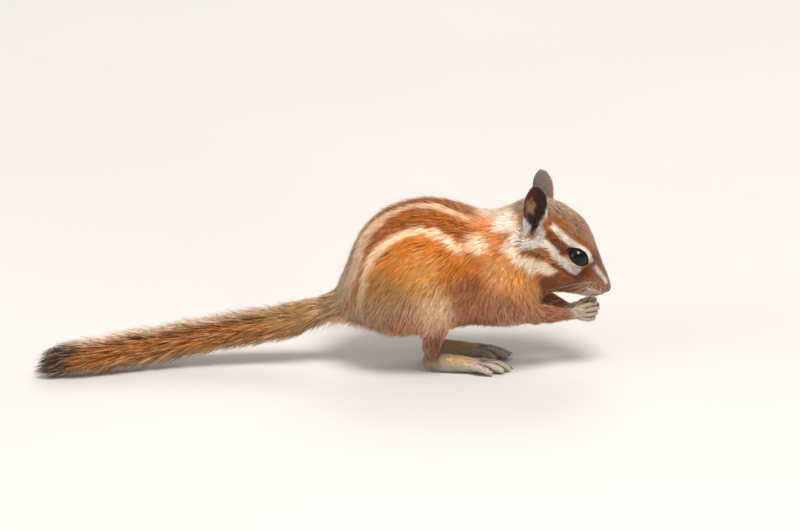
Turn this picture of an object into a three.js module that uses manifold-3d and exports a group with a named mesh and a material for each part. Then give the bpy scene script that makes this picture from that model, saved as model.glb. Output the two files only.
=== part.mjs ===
// A small striped chipmunk, life size: crouched on its long hind feet with the back arched,
// both forepaws lifted under the mouth and the tail laid out on the floor behind it.
// Millimetres. +X runs from the tail to the nose, +Y to its left side, +Z up.
// The flesh is one blended field of rounded masses, drawn out to the tips of the coat and
// parted with thin cuts into the pieces a person would name.

import * as THREE from 'three';
import Module from 'manifold-3d';
import { mergeVertices } from 'three/addons/utils/BufferGeometryUtils.js';

const wasm = await Module();
wasm.setup();

// Driving dimensions.
const GAP = 0.3; // width of every thin cut between two pieces
const FLOOR = -1.7; // level of the soles and of the laid part of the tail
const HEAD_YAW = 8; // degrees the head is turned to the animal's right
const NECK_PIVOT = [72, 0, 44]; // where the head turns on the neck
const EYE_RADIUS = 3.75;
const EYE_HALF_SPACING = 6.75;
const EAR_HEIGHT = 20.5; // from the buried root to the tip
const EAR_HALF_WIDTH = 4.4;
const EAR_WALL = 0.8;
const TAIL_RADIUS = 7.6; // hair tips, at the fullest part of the brush
const HIP_HALF_SPACING = 12;
const ANKLE_HALF_SPACING = 8;
const FOOT_LENGTH = 28.5; // heel to the tips of the longest toes, claws beyond
const TOE_SHORTFALLS = [6.5, 2.5, 0, 0.8, 4.7]; // how much sooner each toe ends, outer one first
const TOE_RADIUS = 1.45;
const FINGER_RADIUS = 0.85;
const CLAW_LENGTH = 2.1;

// Facet sizes of the blended flesh; the head's grow finer towards the snout.
const TRUNK_CELL = 5.2;
const LIMB_CELL = 4.4;
const NECK_CELL = 4.6;
const CROWN_CELL = 3.5;
const SNOUT_CELL = 1.7;

// ---- fields: each returns the distance to a rounded mass, negative inside ----

function ellipsoid(centre, radii, pitch = 0) {
  const c = Math.cos(THREE.MathUtils.degToRad(pitch));
  const s = Math.sin(THREE.MathUtils.degToRad(pitch));
  return (x, y, z) => {
    const dx = x - centre[0];
    const dz = z - centre[2];
    const px = (dx * c + dz * s) / radii[0];
    const py = (y - centre[1]) / radii[1];
    const pz = (dz * c - dx * s) / radii[2];
    const near = Math.hypot(px, py, pz);
    const slope = Math.hypot(px / radii[0], py / radii[1], pz / radii[2]);
    return slope < 1e-9 ? -Math.min(...radii) : (near * (near - 1)) / slope;
  };
}

function taper(a, b, ra, rb) {
  const ax = b[0] - a[0];
  const ay = b[1] - a[1];
  const az = b[2] - a[2];
  const len2 = ax * ax + ay * ay + az * az;
  return (x, y, z) => {
    const dot = (x - a[0]) * ax + (y - a[1]) * ay + (z - a[2]) * az;
    const t = Math.min(1, Math.max(0, dot / len2));
    const d = Math.hypot(x - a[0] - ax * t, y - a[1] - ay * t, z - a[2] - az * t);
    return d - (ra + (rb - ra) * t);
  };
}

function blend(k, ...fields) {
  return (x, y, z) => {
    let d = fields[0](x, y, z);
    for (const field of fields.slice(1)) {
      const e = field(x, y, z);
      const h = Math.max(k - Math.abs(d - e), 0) / k;
      d = Math.min(d, e) - (h * h * k) / 4;
    }
    return d;
  };
}

function bothSides(field) {
  return (x, y, z) => field(x, -Math.abs(y), z);
}

// ---- the head's own frame, turned by HEAD_YAW about the neck ----

const yaw = THREE.MathUtils.degToRad(-HEAD_YAW);

function headPoint([x, y, z]) {
  const dx = x - NECK_PIVOT[0];
  const px = NECK_PIVOT[0] + dx * Math.cos(yaw) - y * Math.sin(yaw);
  const py = dx * Math.sin(yaw) + y * Math.cos(yaw);
  return [px, py, z];
}

function turned(field) {
  return (x, y, z) => {
    const dx = x - NECK_PIVOT[0];
    const px = NECK_PIVOT[0] + dx * Math.cos(yaw) + y * Math.sin(yaw);
    const py = -dx * Math.sin(yaw) + y * Math.cos(yaw);
    return field(px, py, z);
  };
}

// ---- the masses of the body ----

const loins = ellipsoid([38, 0, 36], [24, 20, 22.7]);
const hips = ellipsoid([27.8, 0, 33.4], [18.3, 19.5, 20]);
const ribs = ellipsoid([59, 0, 31.2], [17.5, 16, 17.4]);
const tailHead = taper([17, 0, 25], [4.5, 0, 20.6], 10, 6.4);
const nape = taper([58, 0, 36], [71, 0, 44.5], 15.4, 12.6);
const haunch = bothSides(ellipsoid([28.2, -HIP_HALF_SPACING, 28.6], [16.6, 9.6, 15.6]));
const knee = bothSides(ellipsoid([39, -16, 22.5], [6.6, 5.2, 7.6], 20));
const shoulder = bothSides(ellipsoid([61, -11.5, 28], [9.5, 6.5, 12], 18));
const elbow = bothSides(ellipsoid([67.5, -12.4, 22.2], [6.6, 5, 6]));

const cranium = ellipsoid([76.3, 0, 46.3], [13.6, 10.6, 11.8]);
const forehead = ellipsoid([84, 0, 43.9], [9.1, 8.6, 8.9]);
const brows = bothSides(ellipsoid([88, -5.4, 42.4], [4.6, 3.6, 4]));
const snout = taper([89.1, 0, 39.2], [97, 0, 29.1], 6.2, 2.75);
const lips = bothSides(ellipsoid([94.2, -2.2, 28.6], [4, 2.7, 3.4], -40));
const jaw = taper([81.5, 0, 32.4], [92.2, 0, 26.2], 6.9, 2.5);
const cheeks = bothSides(ellipsoid([82.6, -4.9, 36.4], [7.4, 6.1, 7], -35));

const face = blend(2.5, blend(4, cranium, forehead), snout, brows, lips, jaw, cheeks);
const barrel = blend(9, loins, hips, ribs, tailHead);
const flesh = blend(
  6,
  blend(7, barrel, nape),
  turned(face),
  blend(3, haunch, knee),
  blend(4, shoulder, elbow),
);

// ---- fields and tools into solids ----

// Grid lines from one end to the other, their spacing running from `first` to `last`.
function lines(from, to, first, last = first) {
  const found = [from];
  while (found[found.length - 1] < to) {
    const v = found[found.length - 1];
    found.push(v + first + ((last - first) * (v - from)) / (to - from));
  }
  return found;
}

function polygonise(field, grid) {
  const n = grid.map((axis) => axis.length);
  const at = (i, j, k) => (k * n[1] + j) * n[0] + i;
  const value = new Float64Array(n[0] * n[1] * n[2]);
  for (let k = 0; k < n[2]; k++) {
    for (let j = 0; j < n[1]; j++) {
      for (let i = 0; i < n[0]; i++) {
        const edge = [i, j, k].some((v, axis) => v === 0 || v === n[axis] - 1);
        const d = field(grid[0][i], grid[1][j], grid[2][k]) + 1e-7;
        value[at(i, j, k)] = edge ? Math.max(d, 1) : d;
      }
    }
  }
  const corners = [0, 1, 2, 3, 4, 5, 6, 7].map((c) => [c & 1, (c >> 1) & 1, c >> 2]);
  const vertexOf = new Map();
  const positions = [];
  for (let k = 0; k < n[2] - 1; k++) {
    for (let j = 0; j < n[1] - 1; j++) {
      for (let i = 0; i < n[0] - 1; i++) {
        const v = corners.map((c) => value[at(i + c[0], j + c[1], k + c[2])]);
        const sum = [0, 0, 0];
        let hits = 0;
        for (let a = 0; a < 8; a++) {
          for (const bit of [1, 2, 4]) {
            const b = a | bit;
            if (b === a || v[a] < 0 === v[b] < 0) continue;
            const t = v[a] / (v[a] - v[b]);
            for (let q = 0; q < 3; q++) {
              sum[q] += corners[a][q] + t * (corners[b][q] - corners[a][q]);
            }
            hits += 1;
          }
        }
        if (!hits) continue;
        vertexOf.set(at(i, j, k), positions.length / 3);
        [i, j, k].forEach((start, axis) => {
          const [a, b] = [grid[axis][start], grid[axis][start + 1]];
          positions.push(a + ((b - a) * sum[axis]) / hits);
        });
      }
    }
  }
  const index = [];
  const step = [1, n[0], n[0] * n[1]];
  const apart = (a, b) => {
    const d = [0, 1, 2].map((q) => positions[3 * a + q] - positions[3 * b + q]);
    return Math.hypot(...d);
  };
  for (let k = 0; k < n[2] - 1; k++) {
    for (let j = 0; j < n[1] - 1; j++) {
      for (let i = 0; i < n[0] - 1; i++) {
        const here = at(i, j, k);
        for (let axis = 0; axis < 3; axis++) {
          if ([i, j, k].some((v, other) => other !== axis && v === 0)) continue;
          const inside = value[here] < 0;
          if (inside === value[here + step[axis]] < 0) continue;
          const u = step[(axis + 1) % 3];
          const w = step[(axis + 2) % 3];
          const ring = [here - u - w, here - w, here, here - u].map((c) => vertexOf.get(c));
          if (!inside) ring.reverse();
          const [a, b, c, d] = ring;
          if (apart(a, c) < apart(b, d)) index.push(a, b, c, a, c, d);
          else index.push(a, b, d, b, c, d);
        }
      }
    }
  }
  const geometry = new THREE.BufferGeometry();
  geometry.setAttribute('position', new THREE.Float32BufferAttribute(positions, 3));
  geometry.setIndex(index);
  return geometry;
}

function solid(geometry) {
  const bare = geometry.clone();
  for (const name of Object.keys(bare.attributes)) {
    if (name !== 'position') bare.deleteAttribute(name);
  }
  const welded = mergeVertices(bare, 1e-5);
  const vertProperties = new Float32Array(welded.attributes.position.array);
  const triVerts = new Uint32Array(welded.index.array);
  return new wasm.Manifold(new wasm.Mesh({ numProp: 3, vertProperties, triVerts }));
}

function fleshIn(low, high, cell) {
  const grid = low.map((v, axis) => lines(v, high[axis], cell));
  return solid(polygonise(flesh, grid));
}

function ball(centre, radii, pitch = 0, grow = 0, fine = 20) {
  const shape = new THREE.SphereGeometry(1, fine, Math.round(fine * 0.6));
  shape.rotateX(Math.PI / 2);
  shape.scale(...radii.map((r) => r + grow));
  shape.rotateY(THREE.MathUtils.degToRad(-pitch));
  shape.translate(...centre);
  return solid(shape);
}

// One great block: everything past a plane, on the side its normal points to.
function beyond(point, normal, inset = 0) {
  const size = 400;
  const out = new THREE.Vector3(...normal).normalize();
  const block = new THREE.BoxGeometry(size, size, size);
  const turn = new THREE.Quaternion().setFromUnitVectors(new THREE.Vector3(0, 0, 1), out);
  block.applyQuaternion(turn);
  const centre = out.clone().multiplyScalar(size / 2 + inset);
  block.translate(point[0] + centre.x, point[1] + centre.y, point[2] + centre.z);
  return solid(block);
}

// A tube of rounded rings along a path; stations are [x, y, z, half width, half height].
function tube(stations, sides, grow = 0) {
  const centres = stations.map((s) => new THREE.Vector3(s[0], s[1], s[2]));
  const last = centres.length - 1;
  const ahead = centres[last].clone().sub(centres[last - 1]).normalize();
  const behind = centres[0].clone().sub(centres[1]).normalize();
  centres[last].addScaledVector(ahead, grow);
  centres[0].addScaledVector(behind, grow);
  const positions = [];
  for (let i = 0; i <= last; i++) {
    const from = centres[Math.max(0, i - 1)];
    const to = centres[Math.min(last, i + 1)];
    const along = to.clone().sub(from).normalize();
    const across = new THREE.Vector3(-along.y, along.x, 0).normalize();
    const up = along.clone().cross(across).normalize();
    for (let j = 0; j < sides; j++) {
      const turn = ((j + 0.5) / sides) * Math.PI * 2;
      const p = centres[i].clone();
      p.addScaledVector(across, Math.cos(turn) * (stations[i][3] + grow));
      p.addScaledVector(up, Math.sin(turn) * (stations[i][4] + grow));
      positions.push(p.x, p.y, p.z);
    }
  }
  positions.push(...centres[0].toArray(), ...centres[last].toArray());
  const tail = stations.length * sides;
  const index = [];
  for (let j = 0; j < sides; j++) {
    const k = (j + 1) % sides;
    for (let i = 0; i < last; i++) {
      const [a, b] = [i * sides + j, i * sides + k];
      index.push(a, b, b + sides, a, b + sides, a + sides);
    }
    index.push(tail, k, j);
    index.push(tail + 1, last * sides + j, last * sides + k);
  }
  const geometry = new THREE.BufferGeometry();
  geometry.setAttribute('position', new THREE.Float32BufferAttribute(positions, 3));
  geometry.setIndex(index);
  return solid(geometry);
}

// A jointed digit: flesh of one radius, rounded off, then a short claw along `heading`.
function digit(points, radius, heading, clawLength) {
  const way = new THREE.Vector3(...heading).normalize().toArray();
  const tip = points[points.length - 1];
  const past = (d) => tip.map((v, axis) => v + way[axis] * d);
  const stations = points.map((p, i) => {
    const r = i === points.length - 1 ? radius * 0.72 : radius;
    return [...p, r, r];
  });
  stations.push([...past(0.35), 0.42, 0.48], [...past(clawLength), 0.26, 0.26]);
  return tube(stations, 5);
}

const keepAhead = (piece, [point, normal]) => {
  return piece.subtract(beyond(point, normal.map((v) => -v), -GAP / 2));
};
const keepBehind = (piece, [point, normal]) => piece.subtract(beyond(point, normal, -GAP / 2));
const underFloor = beyond([0, 0, FLOOR], [0, 0, -1]);
const mirrorY = (piece) => piece.mirror([0, 1, 0]);

// ---- tail: a round brush, thin at the root, falling to the floor and laid along it ----

const tailLine = [
  // along X, side, height, share of the full radius
  [12, 0, 24.5, 0.62],
  [1, 0.2, 19, 0.7],
  [-8, 0.6, 15.2, 0.86],
  [-19, 0.8, 12.8, 0.96],
  [-30, 0.5, 11.1, 1],
  [-45, -0.6, 8.6, 1],
  [-60, -3.2, 6.3, 1.01],
  [-74, -8.3, 5.4, 1],
  [-85, -12.3, 5, 0.94],
  [-93, -13.7, 3.6, 0.74],
  [-97.5, -13.6, 2.3, 0.44],
  [-100, -13.5, 1.6, 0.14],
];

function brush(grow) {
  const stations = tailLine.map(([x, y, z, share]) => {
    const r = TAIL_RADIUS * share;
    return [x, y, z, r * 1.04, r * 0.98];
  });
  return tube(stations, 12, grow).subtract(underFloor);
}

const tailPieces = [];
let restOfTail = brush(0);
for (const x of [-4, -36, -68]) {
  const cut = [[x, 0, 0], [1, 0, -0.25]];
  tailPieces.push(keepAhead(restOfTail, cut));
  restOfTail = keepBehind(restOfTail, cut);
}
tailPieces.push(restOfTail);

// ---- hind legs (right side modelled, left side mirrored) ----

const thighZone = (grow) => ball([27.6, -21, 28.5], [17.6, 12.6, 15.6], 0, grow, 12);

// The sole lies flat; five toes spread from the end of a long narrow foot.
const heelX = 35.6;
const soleStations = [
  // along X, side, height of the middle, half width, half height
  [heelX, -ANKLE_HALF_SPACING, 4.9, 1.9, 2.2],
  [heelX + 2.6, -ANKLE_HALF_SPACING, 3.6, 2.8, 3.1],
  [heelX + 8, -ANKLE_HALF_SPACING - 0.2, 1.5, 2.9, 3.3],
  [heelX + 14, -ANKLE_HALF_SPACING - 0.4, 0.6, 3.3, 2.7],
  [heelX + 19, -ANKLE_HALF_SPACING - 0.5, 0.1, 3.7, 2.3],
  [heelX + 21.5, -ANKLE_HALF_SPACING - 0.5, -0.3, 3, 1.8],
];

function foot() {
  let piece = tube(soleStations, 9);
  for (let toe = 0; toe < 5; toe++) {
    const spread = (toe - 2) / 2; // +1 is the inner side
    const reach = FOOT_LENGTH - TOE_SHORTFALLS[toe];
    const y0 = -ANKLE_HALF_SPACING - 0.5 + spread * 2.8;
    const splay = 1.5 * spread - 0.3;
    const points = [
      [heelX + 17.5 - Math.abs(spread) * 2, y0, FLOOR + 1.6],
      [heelX + (17.5 + reach) / 2, y0 + splay * 0.5, FLOOR + 2],
      [heelX + reach, y0 + splay, FLOOR + 0.7],
    ];
    const heading = [1, 0.08 * spread - 0.03, -0.15];
    piece = piece.add(digit(points, TOE_RADIUS, heading, CLAW_LENGTH));
  }
  return piece.subtract(underFloor);
}

function shankBlank(grow) {
  const field = taper([38.6, -14.6, 19], [37.6, -8.6, 6.4], 5.7 + grow, 3.7 + grow);
  return solid(polygonise(field, [lines(28, 49, 3.5), lines(-25, -1, 3.5), lines(0, 28, 4)]));
}
const rightFoot = foot();
const footRoom = tube(soleStations, 9, GAP);
const rightShank = shankBlank(0)
  .subtract(thighZone(GAP))
  .subtract(footRoom)
  .subtract(beyond([0, 0, 4.4], [0, 0, -1]));

// ---- forelimbs ----

const armZone = (grow) => ball([63.4, -17, 24.4], [10.2, 9.4, 12.6], 22, grow, 11);
const MOUTH_SIDE = -1.2; // the paws meet in front of the turned mouth

// Stations of the right (-1) or left (+1) forearm, from elbow to wrist.
const forearmLine = (side) => [
  [66.5, side * 12.5, 21, 3.8, 4.2],
  [72, side * 11.2, 20.3, 3.6, 3.9],
  [78.6, side * 7.9 + MOUTH_SIDE * 0.5, 19.4, 2.8, 3.2],
  [85.2, side * 3.6 + MOUTH_SIDE, 17.9, 1.6, 1.9],
];
const wrist = (side) => [[85, side * 3.7 + MOUTH_SIDE, 17.9], [1, -side * 0.35, 0]];

// The palm faces inward; four fingers run forward and curl in, with a thumb knob above.
function forepaw(side) {
  const at = (dx, dy, dz) => [88 + dx, side * (3.3 - dy) + MOUTH_SIDE, 18.7 + dz];
  let piece = ball(at(0, 0, 0), [4, 1.7, 2.9], 0, 0, 8);
  for (let finger = 0; finger < 4; finger++) {
    const rise = finger - 1.5;
    const long = 7.4 - 0.95 * Math.abs(rise - 0.3);
    const points = [
      at(1.6, -0.1, rise * 1.4),
      at(long * 0.74, 0.2, rise * 1.8 + 0.3),
      at(long, 1.8, rise * 1.65 + 0.5),
    ];
    const heading = [0.5, -side, 0.05];
    piece = piece.add(digit(points, FINGER_RADIUS, heading, CLAW_LENGTH * 0.55));
  }
  piece = piece.add(ball(at(-0.4, 1.5, 1.9), [1.4, 0.9, 0.9], 0, 0, 6));
  return keepAhead(piece, wrist(side));
}

const forearm = (side) => {
  const arm = side < 0 ? armZone(GAP) : mirrorY(armZone(GAP));
  return keepBehind(tube(forearmLine(side), 9).subtract(arm), wrist(side));
};

// ---- ears: thin cupped shells, rooted in the head, opening out and a little forward ----

const earRoot = [73.9, -9.9, 45.4];

function ear(grow) {
  const up = new THREE.Vector3(0.02, -0.03, 1).normalize();
  const facing = new THREE.Vector3(0.46, -0.89, 0).normalize();
  const across = up.clone().cross(facing).normalize();
  const outward = across.clone().cross(up).normalize();
  const rows = 7;
  const columns = 7;
  const sheets = [[], []];
  const halfWidth = (t) => {
    const root = 0.66 + 0.34 * Math.sin(Math.min(1, t / 0.5) * Math.PI * 0.5);
    const tip = t > 0.5 ? Math.sqrt(Math.max(0.02, 1 - ((t - 0.5) / 0.51) ** 2.8)) : 1;
    return EAR_HALF_WIDTH * root * tip;
  };
  for (let i = 0; i <= rows; i++) {
    const t = i / rows;
    for (let j = 0; j <= columns; j++) {
      const v = (j / columns) * 2 - 1;
      const roll = v * (1.25 - 0.35 * t);
      const w = halfWidth(t) + grow;
      const p = new THREE.Vector3(...earRoot);
      p.addScaledVector(up, t * (EAR_HEIGHT + grow) - grow);
      p.addScaledVector(across, (Math.sin(roll) / Math.sin(1.25 - 0.35 * t)) * w);
      p.addScaledVector(outward, (1 - Math.cos(roll)) * w * 0.95 - 1.6 + 1.4 * t * t);
      const normal = outward.clone().multiplyScalar(Math.cos(roll));
      normal.addScaledVector(across, -Math.sin(roll));
      for (const side of [0, 1]) {
        const q = p.clone().addScaledVector(normal, (side - 0.5) * (EAR_WALL + 2 * grow));
        sheets[side].push(q.x, q.y, q.z);
      }
    }
  }
  const row = columns + 1;
  const count = (rows + 1) * row;
  const index = [];
  for (let i = 0; i < rows; i++) {
    for (let j = 0; j < columns; j++) {
      const a = i * row + j;
      index.push(a, a + row, a + 1, a + 1, a + row, a + row + 1);
      const b = a + count;
      index.push(b, b + 1, b + row, b + 1, b + row + 1, b + row);
    }
  }
  const rim = [];
  for (let j = 0; j < columns; j++) rim.push(j);
  for (let i = 0; i < rows; i++) rim.push(i * row + columns);
  for (let j = columns; j > 0; j--) rim.push(rows * row + j);
  for (let i = rows; i > 0; i--) rim.push(i * row);
  rim.forEach((a, i) => {
    const b = rim[(i + 1) % rim.length];
    index.push(a, b, b + count, a, b + count, a + count);
  });
  const geometry = new THREE.BufferGeometry();
  geometry.setAttribute('position', new THREE.Float32BufferAttribute(sheets.flat(), 3));
  geometry.setIndex(index);
  return solid(geometry);
}

function onHead(piece) {
  const turn = new THREE.Matrix4().makeTranslation(NECK_PIVOT[0], 0, 0);
  turn.multiply(new THREE.Matrix4().makeRotationZ(yaw));
  turn.multiply(new THREE.Matrix4().makeTranslation(-NECK_PIVOT[0], 0, 0));
  return piece.transform(turn.elements);
}

const rightEar = onHead(ear(0));
const leftEar = onHead(mirrorY(ear(0)));
const earBowl = ball([74.7, -11.9, 52.2], [3.7, 3.9, 7.6], 0, 0, 9);
const earHole = ear(GAP).add(earBowl);
const earHoles = onHead(earHole.add(mirrorY(earHole)));

// ---- eyes and nose ----

const eyeAt = (side) => headPoint([88.6, side * EYE_HALF_SPACING, 40.2]);
const eyeBall = (side, grow) => ball(eyeAt(side), [EYE_RADIUS, EYE_RADIUS, EYE_RADIUS], 0, grow, 12);
const noseAt = headPoint([98.7, 0, 27.4]);
const nosePad = (grow) => ball(noseAt, [1.5, 1.7, 1.45], 40, grow, 9);

// ---- head, neck and trunk ----

const headPlane = [[72.5, 0, 42], [0.955, 0, 0.3]];
const neckPlane = [[64.5, 0, 40], [0.92, 0, 0.39]];
const waistPlane = [[49, 0, 36], [1, 0, 0]];
const withoutBoth = (piece, tool) => piece.subtract(tool).subtract(mirrorY(tool));

const headMesh = solid(
  polygonise(flesh, [
    lines(62, 103, CROWN_CELL, SNOUT_CELL),
    lines(-18, 16, (CROWN_CELL + SNOUT_CELL) / 2),
    lines(19, 63, SNOUT_CELL, CROWN_CELL),
  ]),
);
const head = keepAhead(headMesh, headPlane)
  .subtract(eyeBall(-1, GAP))
  .subtract(eyeBall(1, GAP))
  .subtract(nosePad(GAP))
  .subtract(earHoles);

const neckMesh = fleshIn([50, -24, 8], [86, 24, 64], NECK_CELL).subtract(earHoles);
const neckBlank = keepAhead(keepBehind(neckMesh, headPlane), neckPlane);
const forearmRoom = tube(forearmLine(-1), 9, GAP).add(tube(forearmLine(1), 9, GAP));
const neck = withoutBoth(neckBlank, armZone(GAP)).subtract(forearmRoom);

const trunkMesh = fleshIn([2, -30, 6], [84, 30, 66], TRUNK_CELL);
const trunk = withoutBoth(keepBehind(trunkMesh, neckPlane), thighZone(GAP));
const chestBlank = withoutBoth(keepAhead(trunk, waistPlane), armZone(GAP));
const chest = chestBlank.subtract(forearmRoom);
const rump = withoutBoth(keepBehind(trunk, waistPlane), shankBlank(GAP)).subtract(brush(GAP));

const limbMesh = fleshIn([6, -30, 6], [80, 2, 50], LIMB_CELL);
const rightThigh = limbMesh.intersect(thighZone(0)).subtract(brush(GAP));
const rightUpperArm = limbMesh.intersect(armZone(0));

// ---- nodes ----

const group = new THREE.Group();
group.name = 'chipmunk';

const COLOURS = {
  ochre: 0xb9773f,
  rufous: 0xa5602f,
  buff: 0xa98562,
  cream: 0xd7c6a8,
  grey: 0x8b7b6c,
  dark: 0x3a2c24,
};

const nodes = [
  ['head', head, COLOURS.ochre, 0.85],
  ['neck', neck, COLOURS.cream, 0.85],
  ['chest', chest, COLOURS.ochre, 0.85],
  ['rump', rump, COLOURS.buff, 0.85],
  ['nose', nosePad(0), COLOURS.dark, 0.45],
  ['tail_root', tailPieces[0], COLOURS.buff, 0.85],
  ['tail_upper', tailPieces[1], COLOURS.rufous, 0.85],
  ['tail_middle', tailPieces[2], COLOURS.rufous, 0.85],
  ['tail_end', tailPieces[3], COLOURS.dark, 0.85],
];
const pairs = [
  ['ear', rightEar, leftEar, COLOURS.grey, 0.8],
  ['eye', eyeBall(-1, 0), eyeBall(1, 0), 0x0b0908, 0.08],
  ['thigh', rightThigh, mirrorY(rightThigh), COLOURS.buff, 0.85],
  ['shank', rightShank, mirrorY(rightShank), COLOURS.rufous, 0.85],
  ['hind_foot', rightFoot, mirrorY(rightFoot), COLOURS.cream, 0.8],
  ['upper_arm', rightUpperArm, mirrorY(rightUpperArm), COLOURS.rufous, 0.85],
  ['forearm', forearm(-1), forearm(1), COLOURS.rufous, 0.85],
  ['forepaw', forepaw(-1), forepaw(1), COLOURS.cream, 0.8],
];
for (const [name, right, left, colour, roughness] of pairs) {
  nodes.push([`right_${name}`, right, colour, roughness]);
  nodes.push([`left_${name}`, left, colour, roughness]);
}

for (const [name, piece, colour, roughness] of nodes) {
  const mesh = piece.getMesh();
  const geometry = new THREE.BufferGeometry();
  geometry.setAttribute('position', new THREE.Float32BufferAttribute(mesh.vertProperties, 3));
  geometry.setIndex(Array.from(mesh.triVerts));
  geometry.computeVertexNormals();
  const material = new THREE.MeshStandardMaterial({ color: colour, roughness, metalness: 0 });
  const node = new THREE.Mesh(geometry, material);
  node.name = name;
  group.add(node);
}

// The whole stands with the middle of its footprint at the origin.
const reach = new THREE.Box3().setFromObject(group);
const middle = reach.getCenter(new THREE.Vector3());
for (const node of group.children) {
  node.geometry.translate(-middle.x, -middle.y, -reach.min.z);
}

export default group;
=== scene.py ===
import math

import bmesh
import bpy
import numpy as np
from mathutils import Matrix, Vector
from mathutils.kdtree import KDTree


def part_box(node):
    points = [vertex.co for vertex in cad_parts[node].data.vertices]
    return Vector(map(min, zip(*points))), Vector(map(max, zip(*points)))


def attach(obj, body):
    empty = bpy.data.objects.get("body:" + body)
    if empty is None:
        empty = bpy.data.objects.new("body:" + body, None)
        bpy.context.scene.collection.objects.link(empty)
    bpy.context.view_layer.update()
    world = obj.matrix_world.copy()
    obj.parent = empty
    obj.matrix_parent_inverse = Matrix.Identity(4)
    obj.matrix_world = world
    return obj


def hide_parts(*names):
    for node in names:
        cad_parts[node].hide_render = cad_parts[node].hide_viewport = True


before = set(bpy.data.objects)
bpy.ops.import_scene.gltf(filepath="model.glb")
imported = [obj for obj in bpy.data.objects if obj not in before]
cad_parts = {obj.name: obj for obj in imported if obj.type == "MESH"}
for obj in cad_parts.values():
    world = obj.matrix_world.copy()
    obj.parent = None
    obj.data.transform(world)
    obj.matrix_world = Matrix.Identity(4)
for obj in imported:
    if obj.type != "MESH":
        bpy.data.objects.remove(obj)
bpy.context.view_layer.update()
MM = 0.001

# ---- camera ----
# The view a case in a museum gives: the animal's right side, seen from a little above
# through a long lens, so that near and far legs keep their size.
LOOK_AT = Vector((0.0268, 0.0, 0.0360))
LOOK_DOWN = math.radians(17)
CAMERA_DISTANCE = 2.3


def placed(name, data):
    """A new object of this data in the scene."""
    made = bpy.data.objects.new(name, data)
    bpy.context.scene.collection.objects.link(made)
    return made


camera_data = bpy.data.cameras.new("camera")
camera_data.lens = 300
camera_data.sensor_width = 36
camera_data.clip_end = 20
camera = placed("camera", camera_data)
camera.location = LOOK_AT + CAMERA_DISTANCE * Vector((0, -math.cos(LOOK_DOWN), math.sin(LOOK_DOWN)))
camera.rotation_euler = (math.pi / 2 - LOOK_DOWN, 0, 0)
bpy.context.scene.camera = camera
bpy.context.scene.view_settings.view_transform = "Standard"


# ---- floor and studio light ----
# A pale matt floor that runs out of sight on every side, under one broad soft lamp from
# above and to the front, with weaker ones to the left and behind, and an even pale surround.
def srgb(red, green, blue):
    """A colour as the eye reads it, 0 to 255, as the light a surface sends back."""
    c = np.array([red, green, blue], float) / 255
    return np.where(c <= 0.04045, c / 12.92, ((c + 0.055) / 1.055) ** 2.4)


def material(name, roughness, specular):
    """A new material with its nodes, links and Principled shader at hand."""
    made = bpy.data.materials.new(name)
    made.use_nodes = True
    nodes, links = made.node_tree.nodes, made.node_tree.links
    shader = nodes["Principled BSDF"]
    shader.inputs["Roughness"].default_value = roughness
    shader.inputs["Specular IOR Level"].default_value = specular
    return made, nodes, links, shader


def wire(links, *joins):
    """Links nodes: each join is a sender, its output, a receiver and its input."""
    for sender, output, receiver, entry in joins:
        links.new(sender.outputs[output], receiver.inputs[entry])


def clouded(name, roughness, specular, scale, *stops):
    """A material of close colours in soft clouds; a stop is its position and its colour."""
    made, nodes, links, shader = material(name, roughness, specular)
    place = nodes.new("ShaderNodeTexCoord")
    noise = nodes.new("ShaderNodeTexNoise")
    noise.inputs["Scale"].default_value = scale
    noise.inputs["Detail"].default_value = 3.0
    tint = nodes.new("ShaderNodeValToRGB")
    for element, (position, colour) in zip(tint.color_ramp.elements, stops):
        element.position = position
        element.color = (*colour, 1)
    wire(links, (place, "Object", noise, "Vector"), (noise, "Fac", tint, "Fac"),
         (tint, "Color", shader, "Base Color"))
    return made


FLOOR_HALF = 3.0
LAMPS = (  # name, place, size and power
    ("key_lamp", (0.4, -0.95, 1.85), 0.8, 46),
    ("left_lamp", (-1.6, -0.9, 0.9), 1.2, 9),
    ("back_lamp", (0.3, 1.7, 1.3), 1.2, 16),
)
SURROUND_COLOUR = (1.0, 0.985, 0.965, 1)
SURROUND_STRENGTH = 0.45
floor_mesh = bpy.data.meshes.new("floor")
floor_corners = [(x * FLOOR_HALF, y * FLOOR_HALF, 0) for x, y in ((-1, -1), (1, -1), (1, 1), (-1, 1))]
floor_mesh.from_pydata(floor_corners, [], [(0, 1, 2, 3)])
floor = placed("floor", floor_mesh)
floor_stops = (0.3, srgb(205, 201, 196)), (0.7, srgb(211, 207, 202))
floor_mesh.materials.append(clouded("floor_paint", 0.85, 0.2, 3.0, *floor_stops))

for name, place, size, power in LAMPS:
    lamp = bpy.data.lights.new(name, "AREA")
    lamp.size = size
    lamp.energy = power
    light = placed(name, lamp)
    light.location = place
    light.rotation_euler = (LOOK_AT - Vector(place)).to_track_quat("-Z", "Y").to_euler()
surround = bpy.data.worlds.new("surround")
surround.use_nodes = True
background = surround.node_tree.nodes["Background"]
background.inputs["Color"].default_value = SURROUND_COLOUR
background.inputs["Strength"].default_value = SURROUND_STRENGTH
bpy.context.scene.world = surround

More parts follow.
